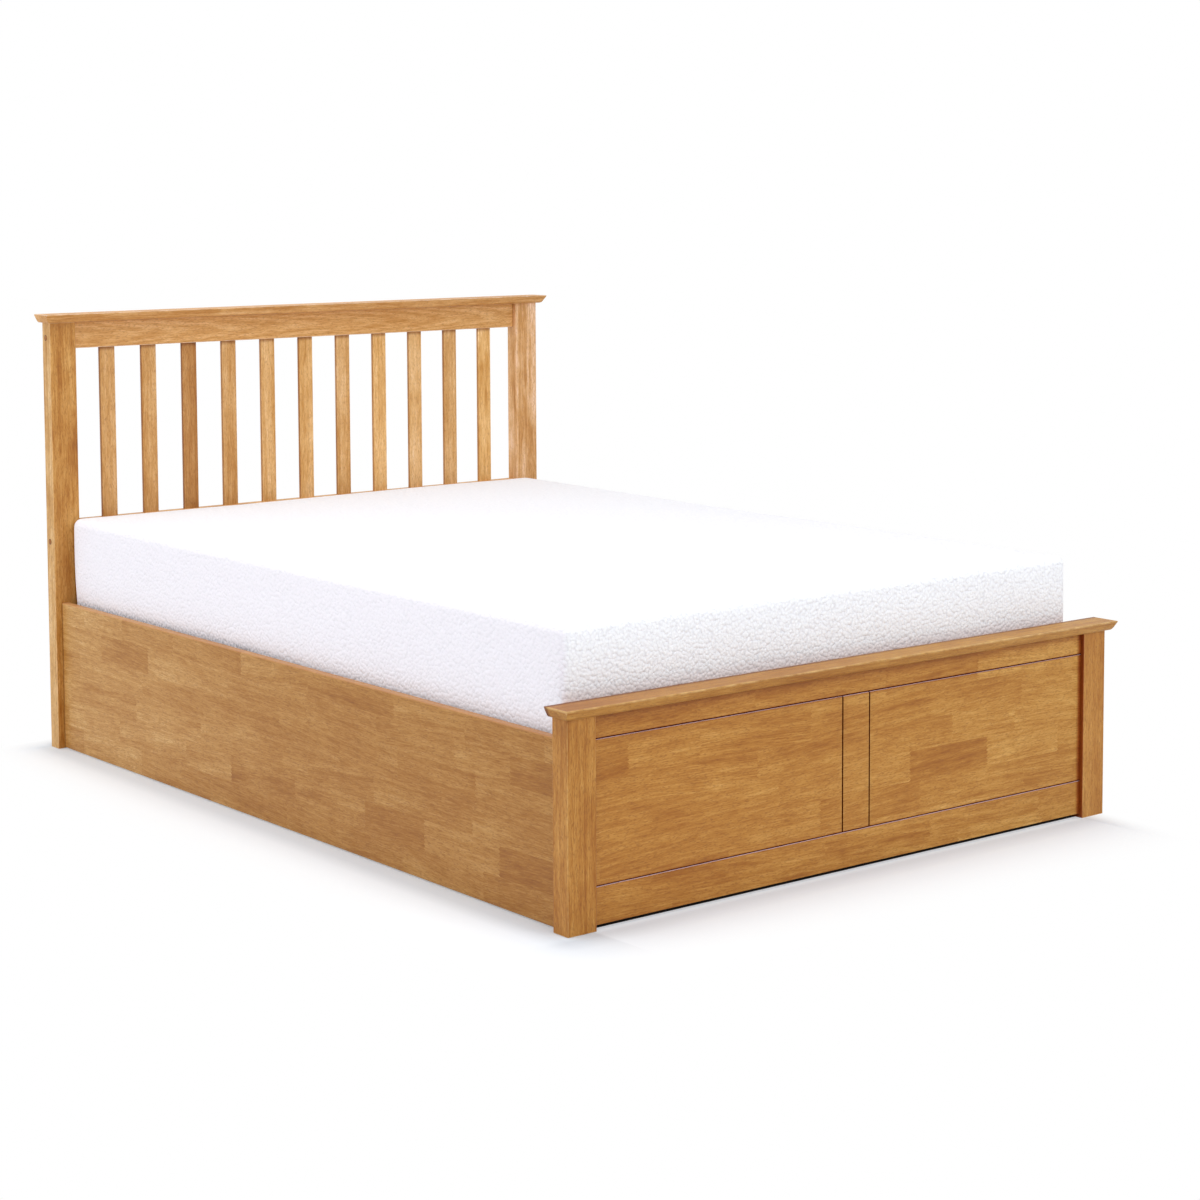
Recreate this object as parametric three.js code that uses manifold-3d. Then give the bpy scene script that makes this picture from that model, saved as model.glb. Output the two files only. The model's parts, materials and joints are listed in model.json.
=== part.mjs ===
// Wooden double ottoman bed: slatted headboard, panelled footboard, solid side panels round a
// storage space, and a slatted platform with its mattress that lifts at the foot end on two
// hinges, each a pair of steel arms with a gas strut.
// Millimetres, +Z up, +Y towards the headboard. The origin is on the floor, at the middle of
// the bed's footprint. Left is the -X side.
import * as THREE from 'three';
import { mergeVertices } from 'three/addons/utils/BufferGeometryUtils.js';
import Module from 'manifold-3d';

const wasm = await Module();
wasm.setup();

// Mattress, which sets the inside of the bed, and the space round it
const mattressWidth = 1360;
const mattressLength = 1900;
const mattressThickness = 243;
const mattressCrown = 4;
const mattressEdgeRadius = 18;
const mattressCornerRadius = 20;
const mattressSideSwell = 2;
const sideClearance = 4;
const headClearance = 10;
const footClearance = 18;

// Fits: the gap between two seated pieces, and round a pin, a rod or a moving plate
const jointGap = 0.3;
const pinClearance = 0.3;
const runningGap = 1;
const cutOverrun = 4;

// Wooden edges
const boardEdgeRadius = 2;
const panelEdgeRadius = 3;
const thinEdgeRadius = 1.5;

// Side panels
const sidePanelThickness = 20;
const sidePanelTop = 350;
const sidePanelLift = 1.5;
const sidePanelInset = 16;

// Footboard
const footPostWidth = 66;
const footPostDepth = 44;
const footPostHeight = 393;
const footCapThickness = 20;
const footCapSide = 17;
const footCapFront = 20;
const footCapBack = 1.5;
const footPanelRecess = 9;
const footPanelThickness = 22;
const footPanelLift = 8;
const grooveWidth = 3;
const grooveDepth = 3;
const upperGrooveHeight = 348;
const lowerGrooveHeight = 79;
const stileWidth = 72;

// Headboard
const headPostWidth = 68;
const headPostDepth = 38;
const headPostHeight = 1017;
const headCapThickness = 20;
const headCapSide = 19;
const headCapFront = 23;
const headCapBack = 3;
const railRecess = 12;
const railThickness = 22;
const topRailHeight = 63;
const lowerRailTop = 545;
const lowerRailHeight = 90;
const headSlatCount = 11;
const headSlatWidth = 40;
const headSlatThickness = 9;
const headPanelThickness = 12;
const headPanelLift = 8;

// Cap rail profile: how far in its foot lies, as a share of the overhang, and its small rounds
const capFootShare = 0.5;
const capFootRound = 5;
const capLipHeight = 2;
const capLipEase = 1;
const capRoundSteps = 3;

// Joinery
const tenonLength = 15;
const tenonThickness = 12;
const tenonShoulder = 8;
const slatTenon = 12;
const housingDepth = 6;

// Battens that carry the platform, and the storage floor
const battenWidth = 30;
const battenHeight = 40;
const sideBattenStart = 840;
const bearerLift = 2;
const bearerHeight = 20;
const bearerWidth = 44;
const floorPanelThickness = 6;
const floorPanelMargin = 3;

// Lifting platform: a welded frame of steel channel that carries wooden slats
const platformHeight = 262;
const channelHeight = 40;
const endChannelHeight = 38;
const endChannelInset = 1;
const spineHeight = 36;
const crossMemberHeight = 37;
const channelFlange = 30;
const channelThickness = 3;
const frameHeadInset = 32;
const frameFootInset = 36;
const spineWidth = 36;
const bedSlatCount = 12;
const bedSlatWidth = 60;
const bedSlatThickness = 8;
const bedSlatEndInset = 5;
const bedSlatMargin = 34;
const stopWidth = 520;
const stopHeight = 56;
const stopReach = 70;
const stopThickness = 3;
const stopBendRadius = 6;
const strapWidth = 40;
const strapThickness = 3;
const strapTop = 380;
const strapLoopRadius = 4;
const strapFoot = 270;
const strapGap = 2;

// Lift hinge pivots, each as its distance from the head posts' front face and its height
const rearBaseReach = 558;
const rearBaseHeight = 91;
const frontBaseReach = 753;
const frontBaseHeight = 50;
const rearPlatformReach = 295;
const rearPlatformHeight = 248;
const frontPlatformReach = 372;
const frontPlatformHeight = 228;
const strutBaseReach = 500;
const strutBaseHeight = 55;
const strutArmReach = 640;
const strutArmHeight = 244;

// Lift hinge plates, arms and pins
const basePlateThickness = 3;
const basePlateMargin = 28;
const basePlateRise = 34;
const basePlateDrop = 20;
const basePlateCorner = 18;
const basePlateSlotWidth = 26;
const armThickness = 4;
const rearArmThickness = 5;
const rearArmRadius = 12.5;
const frontArmRadius = 16;
const bracketThickness = 3;
const bracketLobe = 21;
const bracketRearLobe = 16;
const bracketSeatRadius = 16;
const bracketMargin = 30;
const pinRadius = 6;
const pinHeadRadius = 11;
const pinHeadThickness = 2;
const bossRadius = 11;
const openPinHeadRadius = 16;
const openPinPlay = 7.5;

// Gas struts
const strutInset = 50;
const strutEyeWidth = 10;
const strutEyeRadius = 15;
const strutPinRadius = 5;
const strutPinPlay = 5;
const cylinderRadius = 11;
const cylinderStart = 14;
const cylinderEndGap = 46;
const cylinderWall = 12;
const cylinderGlandLength = 10;
const cylinderGlandRadius = 9;
const rodRadius = 5;
const rodBottomGap = 6;

// Facets of round forms
const arcSteps = 2;
const pinSides = 20;
const linkArcSteps = 8;

// Places worked out from the sizes above
const innerWidth = mattressWidth + 2 * sideClearance;
const innerLength = mattressLength + headClearance + footClearance;
const sideInnerX = innerWidth / 2;
const sideOuterX = sideInnerX + sidePanelThickness;
const postOuterX = sideOuterX + sidePanelInset;
const headFaceY = (innerLength + footPostDepth + footCapFront - headPostDepth - headCapBack) / 2;
const headBackY = headFaceY + headPostDepth;
const footFaceY = headFaceY - innerLength;
const footFrontY = footFaceY - footPostDepth;
const platformTop = platformHeight + channelHeight;
const frameMiddleZ = platformHeight + channelHeight / 2;
const frameHeadY = headFaceY - frameHeadInset;
const frameFootY = footFaceY + frameFootInset;
const headWebY = frameHeadY - endChannelInset;
const footWebY = frameFootY + endChannelInset;
const endChannelTop = frameMiddleZ + endChannelHeight / 2;
const bedSlatBottom = platformTop + jointGap;
const mattressBottom = bedSlatBottom + bedSlatThickness + jointGap;
const bearerTop = bearerLift + bearerHeight;

// Layers of a lift hinge, from the side panel inwards, as distances from the middle of the bed
const basePlateOuterX = sideInnerX - jointGap;
const basePlateInnerX = basePlateOuterX - basePlateThickness;
const frontArmOuterX = basePlateInnerX - runningGap;
const frontArmInnerX = frontArmOuterX - armThickness;
const bracketOuterX = frontArmInnerX - runningGap;
const bracketInnerX = bracketOuterX - bracketThickness;
const frameOuterX = bracketInnerX - jointGap;
const openPinHeadInnerX = frameOuterX - pinHeadThickness - jointGap / 2;
const rearArmOuterX = openPinHeadInnerX - runningGap;
const rearArmInnerX = rearArmOuterX - rearArmThickness;
const strutX = sideInnerX - strutInset;
const strutEyeOuterX = strutX + strutEyeWidth / 2;
const strutEyeInnerX = strutX - strutEyeWidth / 2;

// Ways to turn an extruded outline: one in y and z runs along x, one in z and x along y, and
// one in x and z back along y
const alongX = new THREE.Matrix4().makeBasis(
  new THREE.Vector3(0, 1, 0), new THREE.Vector3(0, 0, 1), new THREE.Vector3(1, 0, 0));
const alongY = new THREE.Matrix4().makeBasis(
  new THREE.Vector3(0, 0, 1), new THREE.Vector3(1, 0, 0), new THREE.Vector3(0, 1, 0));
const backAlongY = new THREE.Matrix4().makeBasis(
  new THREE.Vector3(1, 0, 0), new THREE.Vector3(0, 0, 1), new THREE.Vector3(0, -1, 0));

// Materials
const oakWood = { color: 0xc48a48, roughness: 0.5, metalness: 0 };
const plainWood = { color: 0xd9b888, roughness: 0.6, metalness: 0 };
const hardboard = { color: 0x9a6f47, roughness: 0.8, metalness: 0 };
const paintedSteel = { color: 0x2b2c2e, roughness: 0.45, metalness: 0.4 };
const polishedSteel = { color: 0xc9ccd0, roughness: 0.2, metalness: 1 };
const mattressCloth = { color: 0xf1f0f4, roughness: 0.95, metalness: 0 };
const webbing = { color: 0x4a4846, roughness: 0.9, metalness: 0 };

const bed = new THREE.Group();

function addPiece(name, geometry, finish) {
  const mesh = new THREE.Mesh(geometry, new THREE.MeshStandardMaterial(finish));
  mesh.name = name;
  bed.add(mesh);
}

// Closed mesh to solid and back, for joins and cuts
function toSolid(geometry) {
  const bare = geometry.clone();
  bare.deleteAttribute('normal');
  bare.deleteAttribute('uv');
  const merged = mergeVertices(bare);
  const corners = merged.index.array;
  const kept = [];
  for (let i = 0; i < corners.length; i += 3) {
    const [a, b, c] = [corners[i], corners[i + 1], corners[i + 2]];
    if (a !== b && b !== c && c !== a) kept.push(a, b, c);
  }
  const mesh = new wasm.Mesh({
    numProp: 3,
    vertProperties: new Float32Array(merged.attributes.position.array),
    triVerts: new Uint32Array(kept),
  });
  return new wasm.Manifold(mesh);
}

function toGeometry(solid) {
  const mesh = solid.getMesh();
  const geometry = new THREE.BufferGeometry();
  geometry.setAttribute('position', new THREE.BufferAttribute(mesh.vertProperties, 3));
  geometry.setIndex(new THREE.BufferAttribute(mesh.triVerts, 1));
  return geometry;
}

function combine(bodies, cutters = []) {
  let solid = toSolid(bodies[0]);
  for (const body of bodies.slice(1)) solid = solid.add(toSolid(body));
  for (const cutter of cutters) solid = solid.subtract(toSolid(cutter));
  return toGeometry(solid);
}

// A block between two values of x, y and z
function block([x0, x1], [y0, y1], [z0, z1]) {
  const geometry = new THREE.BoxGeometry(Math.abs(x1 - x0), Math.abs(y1 - y0), Math.abs(z1 - z0));
  return geometry.translate((x0 + x1) / 2, (y0 + y1) / 2, (z0 + z1) / 2);
}

// An outline with rounded corners, from a low corner to a high one
function roundedOutline(a0, a1, b0, b1, radius) {
  const outline = new THREE.Shape();
  outline.absarc(a1 - radius, b0 + radius, radius, -Math.PI / 2, 0);
  outline.absarc(a1 - radius, b1 - radius, radius, 0, Math.PI / 2);
  outline.absarc(a0 + radius, b1 - radius, radius, Math.PI / 2, Math.PI);
  outline.absarc(a0 + radius, b0 + radius, radius, Math.PI, 3 * Math.PI / 2);
  return outline;
}

function extrude(outline, depth, steps = arcSteps) {
  return new THREE.ExtrudeGeometry(outline, { depth, curveSegments: steps, bevelEnabled: false });
}

// Boards with eased edges, whose grain runs along x, y or z
function boardAlongX([x0, x1], [y0, y1], [z0, z1], radius) {
  const board = extrude(roundedOutline(y0, y1, z0, z1, radius), x1 - x0);
  return board.applyMatrix4(alongX).translate(x0, 0, 0);
}

function boardAlongY([x0, x1], [y0, y1], [z0, z1], radius) {
  const board = extrude(roundedOutline(z0, z1, x0, x1, radius), y1 - y0);
  return board.applyMatrix4(alongY).translate(0, y0, 0);
}

function boardAlongZ([x0, x1], [y0, y1], [z0, z1], radius) {
  const board = extrude(roundedOutline(x0, x1, y0, y1, radius), z1 - z0);
  return board.translate(0, 0, z0);
}

// A range from one side of the bed to the mirrored place, in rising order
function mirrored(side, nearX, farX) {
  return [Math.min(side * nearX, side * farX), Math.max(side * nearX, side * farX)];
}

// A closed body through rings of equal point count, with flat or pointed ends
function loft(rings) {
  const count = rings[0].length;
  const positions = rings.flat().flatMap((p) => [p.x, p.y, p.z]);
  const faces = [];
  for (let level = 0; level + 1 < rings.length; level += 1) {
    for (let i = 0; i < count; i += 1) {
      const a = level * count + i;
      const b = level * count + (i + 1) % count;
      faces.push(a, b, b + count, a, b + count, a + count);
    }
  }
  const first = rings[0];
  const last = rings[rings.length - 1];
  const ends = [centreOf(first), centreOf(last)];
  for (const end of ends) positions.push(end.x, end.y, end.z);
  const lowCentre = rings.length * count;
  const topStart = (rings.length - 1) * count;
  for (let i = 0; i < count; i += 1) {
    const next = (i + 1) % count;
    faces.push(lowCentre, next, i);
    faces.push(lowCentre + 1, topStart + i, topStart + next);
  }
  const geometry = new THREE.BufferGeometry();
  geometry.setAttribute('position', new THREE.Float32BufferAttribute(positions, 3));
  geometry.setIndex(faces);
  return geometry;
}

function centreOf(ring) {
  const sum = ring.reduce((total, p) => total.add(p), new THREE.Vector3());
  return sum.divideScalar(ring.length);
}

// Cap rails: flat on top, with a slanting, slightly rounded profile on the front and both ends
function capRail(bottom, thickness, frontY, backY, sideOverhang, frontOverhang) {
  const halfWidth = postOuterX;
  const slope = (1 - capFootShare) / (thickness - capLipHeight);
  const foot = new THREE.QuadraticBezierCurve(
    new THREE.Vector2(capFootShare - capFootRound / frontOverhang, 0),
    new THREE.Vector2(capFootShare, 0),
    new THREE.Vector2(capFootShare + slope * capFootRound, capFootRound));
  const profile = foot.getPoints(capRoundSteps);
  profile.push(new THREE.Vector2(1, thickness - capLipHeight));
  profile.push(new THREE.Vector2(1, thickness - capLipEase));
  profile.push(new THREE.Vector2(1 - capLipEase / frontOverhang, thickness));
  const rings = profile.map((point) => {
    const x = halfWidth + sideOverhang * point.x;
    const y = frontY - frontOverhang * point.x;
    const z = bottom + point.y;
    return [
      new THREE.Vector3(-x, y, z), new THREE.Vector3(x, y, z),
      new THREE.Vector3(x, backY, z), new THREE.Vector3(-x, backY, z),
    ];
  });
  return loft(rings);
}

// Headboard
function buildHeadboard() {
  const railFrontY = headFaceY + railRecess;
  const railBackY = railFrontY + railThickness;
  const railMiddleY = (railFrontY + railBackY) / 2;
  const postInnerX = postOuterX - headPostWidth;
  const railHalf = postInnerX - jointGap;
  const topRail = [headPostHeight - topRailHeight, headPostHeight];
  const lowerRail = [lowerRailTop - lowerRailHeight, lowerRailTop];
  const tenonY = [railMiddleY - tenonThickness / 2, railMiddleY + tenonThickness / 2];
  const mortiseY = [tenonY[0] - jointGap, tenonY[1] + jointGap];
  const panelY = [railMiddleY - headPanelThickness / 2, railMiddleY + headPanelThickness / 2];
  const panelZ = [headPanelLift, lowerRail[0] + housingDepth - jointGap];
  const slatY = [railMiddleY - headSlatThickness / 2, railMiddleY + headSlatThickness / 2];
  const slatZ = [lowerRail[1] - slatTenon, topRail[0] + slatTenon];
  const slatGap = (2 * postInnerX - headSlatCount * headSlatWidth) / (headSlatCount + 1);
  const slatX = Array.from({ length: headSlatCount },
    (_, i) => (i - (headSlatCount - 1) / 2) * (headSlatWidth + slatGap));

  const mortise = (x, rail) => block(
    [x - tenonLength - jointGap, x + tenonLength + jointGap], mortiseY,
    [rail[0] + tenonShoulder - jointGap, rail[1] - tenonShoulder + jointGap]);
  for (const [name, side] of [['head_post_left', -1], ['head_post_right', 1]]) {
    const post = boardAlongZ(
      mirrored(side, postInnerX, postOuterX), [headFaceY, headBackY], [0, headPostHeight],
      boardEdgeRadius);
    const housing = block(
      mirrored(side, postInnerX - cutOverrun, postInnerX + housingDepth),
      [panelY[0] - jointGap, panelY[1] + jointGap], [-cutOverrun, lowerRail[0] + tenonShoulder]);
    const mortises = [mortise(side * postInnerX, topRail), mortise(side * postInnerX, lowerRail)];
    addPiece(name, combine([post], [...mortises, housing]), oakWood);
  }

  const rail = (name, zRange, slatEnd) => {
    const board = boardAlongX(
      [-railHalf, railHalf], [railFrontY, railBackY], zRange, boardEdgeRadius);
    const tenon = block(
      [-railHalf - tenonLength, railHalf + tenonLength], tenonY,
      [zRange[0] + tenonShoulder, zRange[1] - tenonShoulder]);
    const slots = slatX.map((x) => block(
      [x - headSlatWidth / 2 - jointGap, x + headSlatWidth / 2 + jointGap],
      [slatY[0] - jointGap, slatY[1] + jointGap], slatEnd));
    return { name, board, tenon, slots };
  };
  const upper = rail('head_top_rail', topRail,
    [topRail[0] - cutOverrun, topRail[0] + slatTenon + jointGap]);
  addPiece(upper.name, combine([upper.board, upper.tenon], upper.slots), oakWood);
  const lower = rail('head_lower_rail', lowerRail,
    [lowerRail[1] - slatTenon - jointGap, lowerRail[1] + cutOverrun]);
  const panelGroove = block(
    [-railHalf - tenonLength - cutOverrun, railHalf + tenonLength + cutOverrun],
    [panelY[0] - jointGap, panelY[1] + jointGap],
    [lowerRail[0] - cutOverrun, lowerRail[0] + housingDepth]);
  addPiece(lower.name, combine([lower.board, lower.tenon], [...lower.slots, panelGroove]), oakWood);

  slatX.forEach((x, i) => {
    const name = `head_slat_${String(i + 1).padStart(2, '0')}`;
    const xRange = [x - headSlatWidth / 2, x + headSlatWidth / 2];
    addPiece(name, boardAlongZ(xRange, slatY, slatZ, thinEdgeRadius), oakWood);
  });

  const panelHalf = postInnerX + housingDepth - jointGap;
  addPiece('head_panel', block([-panelHalf, panelHalf], panelY, panelZ), oakWood);
  addPiece('head_cap_rail', capRail(
    headPostHeight + jointGap, headCapThickness, headFaceY, headBackY + headCapBack,
    headCapSide, headCapFront), oakWood);
}

// Footboard: two posts, one board with routed grooves that mark out two panels, and a cap rail
function buildFootboard() {
  const postInnerX = postOuterX - footPostWidth;
  const panelY = [footFrontY + footPanelRecess, footFrontY + footPanelRecess + footPanelThickness];
  const panelHalf = postInnerX + housingDepth - jointGap;
  for (const [name, side] of [['foot_post_left', -1], ['foot_post_right', 1]]) {
    const post = boardAlongZ(
      mirrored(side, postInnerX, postOuterX), [footFrontY, footFaceY], [0, footPostHeight],
      boardEdgeRadius);
    const housing = block(
      mirrored(side, postInnerX - cutOverrun, postInnerX + housingDepth),
      [panelY[0] - jointGap, panelY[1] + jointGap],
      [footPanelLift - jointGap, footPostHeight + cutOverrun]);
    addPiece(name, combine([post], [housing]), oakWood);
  }
  const board = block([-panelHalf, panelHalf], panelY, [footPanelLift, footPostHeight]);
  const grooveY = [panelY[0] - cutOverrun, panelY[0] + grooveDepth];
  const grooveReach = panelHalf + cutOverrun;
  const level = (z) => block(
    [-grooveReach, grooveReach], grooveY, [z - grooveWidth / 2, z + grooveWidth / 2]);
  const upright = (x) => block(
    [x - grooveWidth / 2, x + grooveWidth / 2], grooveY, [lowerGrooveHeight, upperGrooveHeight]);
  const grooves = [
    level(upperGrooveHeight), level(lowerGrooveHeight),
    upright(-stileWidth / 2), upright(stileWidth / 2),
  ];
  addPiece('foot_panel', combine([board], grooves), oakWood);
  addPiece('foot_cap_rail', capRail(
    footPostHeight + jointGap, footCapThickness, footFrontY, footFaceY + footCapBack,
    footCapSide, footCapFront), oakWood);
}

// Side panels, the battens that the platform rests on, and the storage floor on its bearers
function buildStorageBase() {
  const boardY = [footFaceY + jointGap, headFaceY - jointGap];
  const battenZ = [platformHeight - jointGap - battenHeight, platformHeight - jointGap];
  const battenX = sideInnerX - jointGap;
  const sides = [['left', -1], ['right', 1]];
  for (const [word, side] of sides) {
    addPiece(`side_panel_${word}`, boardAlongY(
      mirrored(side, sideInnerX, sideOuterX), boardY, [sidePanelLift, sidePanelTop],
      panelEdgeRadius), oakWood);
    addPiece(`side_batten_${word}`, boardAlongY(
      mirrored(side, battenX - battenWidth, battenX),
      [footFaceY + battenWidth + 2 * jointGap, headFaceY - sideBattenStart], battenZ,
      thinEdgeRadius), plainWood);
  }
  const footPanelBackY = footFrontY + footPanelRecess + footPanelThickness + jointGap;
  const footPostInnerX = postOuterX - footPostWidth - jointGap;
  addPiece('foot_batten', boardAlongX(
    [-footPostInnerX, footPostInnerX], [footPanelBackY, footFaceY + battenWidth + jointGap],
    battenZ, thinEdgeRadius), plainWood);

  const bearerHalf = sideInnerX - jointGap;
  const bearerSpan = innerLength - 2 * jointGap - bearerWidth;
  const bearerNames = ['floor_bearer_foot', 'floor_bearer_middle', 'floor_bearer_head'];
  bearerNames.forEach((name, i) => {
    const lowY = footFaceY + jointGap + bearerSpan * i / (bearerNames.length - 1);
    addPiece(name, boardAlongX(
      [-bearerHalf, bearerHalf], [lowY, lowY + bearerWidth], [bearerLift, bearerTop],
      thinEdgeRadius), plainWood);
  });
  const floorHalf = sideInnerX - floorPanelMargin;
  const floorZ = [bearerTop + jointGap, bearerTop + jointGap + floorPanelThickness];
  const middleY = (headFaceY + footFaceY) / 2;
  addPiece('floor_panel_foot', block(
    [-floorHalf, floorHalf], [footFaceY + floorPanelMargin, middleY - jointGap], floorZ),
    hardboard);
  addPiece('floor_panel_head', block(
    [-floorHalf, floorHalf], [middleY + jointGap, headFaceY - floorPanelMargin], floorZ),
    hardboard);
}

// Steel channel of a given height about the frame's mid-height, its open side turned inwards
function channelOutline(outer, inner, height) {
  const wall = Math.sign(inner - outer) * channelThickness;
  const [low, high] = [frameMiddleZ - height / 2, frameMiddleZ + height / 2];
  const outline = new THREE.Shape();
  outline.moveTo(outer, low);
  outline.lineTo(inner, low);
  outline.lineTo(inner, low + channelThickness);
  outline.lineTo(outer + wall, low + channelThickness);
  outline.lineTo(outer + wall, high - channelThickness);
  outline.lineTo(inner, high - channelThickness);
  outline.lineTo(inner, high);
  outline.lineTo(outer, high);
  outline.closePath();
  return outline;
}

// Inverted channel for the spine and the cross member: a top with two walls hanging from it
function hatOutline(middle, height) {
  const half = spineWidth / 2;
  const [low, high] = [frameMiddleZ - height / 2, frameMiddleZ + height / 2];
  const outline = new THREE.Shape();
  outline.moveTo(middle - half, low);
  outline.lineTo(middle - half + channelThickness, low);
  outline.lineTo(middle - half + channelThickness, high - channelThickness);
  outline.lineTo(middle + half - channelThickness, high - channelThickness);
  outline.lineTo(middle + half - channelThickness, low);
  outline.lineTo(middle + half, low);
  outline.lineTo(middle + half, high);
  outline.lineTo(middle - half, high);
  outline.closePath();
  return outline;
}

function runAlongY(outline, y0, y1) {
  return extrude(outline, y1 - y0).applyMatrix4(backAlongY).translate(0, y1, 0);
}

function runAlongX(outline, x0, x1) {
  return extrude(outline, x1 - x0).applyMatrix4(alongX).translate(x0, 0, 0);
}

// Side channels, with the end channels, the spine and the cross member welded between them
function buildLiftFrame() {
  const members = [-1, 1].map((side) => runAlongY(
    channelOutline(side * frameOuterX, side * (frameOuterX - channelFlange), channelHeight),
    frameFootY, frameHeadY));
  const endHalf = frameOuterX - channelThickness / 2;
  for (const [y, inward] of [[headWebY, -1], [footWebY, 1]]) {
    members.push(runAlongX(
      channelOutline(y, y + inward * channelFlange, endChannelHeight), -endHalf, endHalf));
  }
  members.push(runAlongY(
    hatOutline(0, spineHeight), footWebY + channelThickness / 2, headWebY - channelThickness / 2));
  members.push(runAlongX(
    hatOutline((frameHeadY + frameFootY) / 2, crossMemberHeight), -endHalf, endHalf));
  addPiece('lift_frame', combine(members), paintedSteel);
}

// Slats that carry the mattress, evenly spaced along the frame
function buildBedSlats() {
  const half = frameOuterX - bedSlatEndInset;
  const first = frameFootY + bedSlatMargin + bedSlatWidth / 2;
  const last = frameHeadY - bedSlatMargin - bedSlatWidth / 2;
  for (let i = 0; i < bedSlatCount; i += 1) {
    const y = first + (last - first) * i / (bedSlatCount - 1);
    addPiece(`bed_slat_${String(i + 1).padStart(2, '0')}`, boardAlongX(
      [-half, half], [y - bedSlatWidth / 2, y + bedSlatWidth / 2],
      [bedSlatBottom, bedSlatBottom + bedSlatThickness], thinEdgeRadius), plainWood);
  }
}

// Bent plate at the head end that keeps the mattress from sliding when the platform is up
function buildMattressStop() {
  const faceY = headFaceY - headClearance + jointGap;
  const seatY = headWebY - channelFlange;
  const seatZ = endChannelTop + jointGap;
  const outer = faceY + stopThickness;
  const corner = stopBendRadius;
  const outline = new THREE.Shape();
  outline.moveTo(seatY, seatZ);
  outline.lineTo(outer - corner, seatZ);
  outline.quadraticCurveTo(outer, seatZ, outer, seatZ + corner);
  outline.lineTo(outer, seatZ + stopHeight);
  outline.lineTo(faceY, seatZ + stopHeight);
  outline.lineTo(faceY, seatZ + corner);
  outline.quadraticCurveTo(faceY, seatZ + stopThickness, outer - corner, seatZ + stopThickness);
  outline.lineTo(seatY, seatZ + stopThickness);
  outline.closePath();
  addPiece('mattress_stop', runAlongX(outline, -stopWidth / 2, stopWidth / 2), paintedSteel);
}

// Webbing pull strap: from the frame's foot end, under the mattress and up to a folded grip
function buildPullStrap() {
  const webY = footWebY - jointGap;
  const riseY = footFaceY + footClearance - strapGap;
  const bendZ = platformTop - strapGap;
  const outline = new THREE.Shape();
  outline.moveTo(webY, strapFoot);
  outline.lineTo(webY, bendZ);
  outline.lineTo(riseY, bendZ);
  outline.lineTo(riseY, strapTop);
  outline.absarc(riseY - strapLoopRadius, strapTop, strapLoopRadius, 0, Math.PI);
  outline.lineTo(riseY - 2 * strapLoopRadius, strapTop - strapWidth / 2);
  outline.lineTo(riseY - strapThickness, strapTop - strapWidth / 2 - strapLoopRadius);
  outline.lineTo(riseY - strapThickness, bendZ - strapThickness);
  outline.lineTo(webY - strapThickness, bendZ - strapThickness);
  outline.lineTo(webY - strapThickness, strapFoot);
  outline.closePath();
  addPiece('pull_strap', runAlongX(outline, -strapWidth / 2, strapWidth / 2), webbing);
}

// A hinge pivot, given by its distance from the head posts' front face and its height
function pivot(reach, height) {
  return new THREE.Vector2(headFaceY - reach, height);
}

const rearBase = pivot(rearBaseReach, rearBaseHeight);
const frontBase = pivot(frontBaseReach, frontBaseHeight);
const rearPlatform = pivot(rearPlatformReach, rearPlatformHeight);
const frontPlatform = pivot(frontPlatformReach, frontPlatformHeight);
const strutBase = pivot(strutBaseReach, strutBaseHeight);
const strutArm = pivot(strutArmReach, strutArmHeight);

// The outline of a belt round discs, given as [centre, radius] in order round a convex plate
function beltOutline(discs) {
  const leave = discs.map(([centre, radius], i) => {
    const [next, nextRadius] = discs[(i + 1) % discs.length];
    const heading = Math.atan2(next.y - centre.y, next.x - centre.x);
    return heading - Math.acos((radius - nextRadius) / centre.distanceTo(next));
  });
  const outline = new THREE.Shape();
  discs.forEach(([centre, radius], i) => {
    const arrive = leave[(i + discs.length - 1) % discs.length];
    outline.absarc(centre.x, centre.y, radius, arrive, leave[i]);
  });
  return outline;
}

// A link bent at a middle point, with round ends and a rounded inner corner
function bentLinkOutline(start, bend, end, radius) {
  const quarter = Math.PI / 2;
  const first = Math.atan2(bend.y - start.y, bend.x - start.x);
  const second = Math.atan2(end.y - bend.y, end.x - bend.x);
  const reach = radius / Math.cos((first - second) / 2);
  const inward = (first + second) / 2 - quarter;
  const corner = new THREE.Vector2(
    bend.x + reach * Math.cos(inward), bend.y + reach * Math.sin(inward));
  const before = new THREE.Vector2(Math.cos(first), Math.sin(first)).multiplyScalar(-radius);
  const after = new THREE.Vector2(Math.cos(second), Math.sin(second)).multiplyScalar(radius);
  const outline = new THREE.Shape();
  outline.absarc(start.x, start.y, radius, first + quarter, first + 3 * quarter);
  outline.lineTo(corner.x + before.x, corner.y + before.y);
  outline.quadraticCurveTo(corner.x, corner.y, corner.x + after.x, corner.y + after.y);
  outline.absarc(end.x, end.y, radius, second - quarter, second + quarter);
  outline.absarc(bend.x, bend.y, radius, second + quarter, first + quarter);
  return outline;
}

// A flat plate cut to an outline, filling a range of x
function plate(outline, xRange) {
  const body = extrude(outline, xRange[1] - xRange[0], linkArcSteps);
  return body.applyMatrix4(alongX).translate(xRange[0], 0, 0);
}

function linkOutline(from, to, radius) {
  return beltOutline([[from, radius], [to, radius]]);
}

function pin(centre, radius, xRange) {
  const body = new THREE.CylinderGeometry(radius, radius, xRange[1] - xRange[0], pinSides);
  return body.rotateZ(Math.PI / 2).translate((xRange[0] + xRange[1]) / 2, centre.x, centre.y);
}

function hole(centre, radius, xRange) {
  return pin(centre, radius, [xRange[0] - cutOverrun, xRange[1] + cutOverrun]);
}

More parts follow.
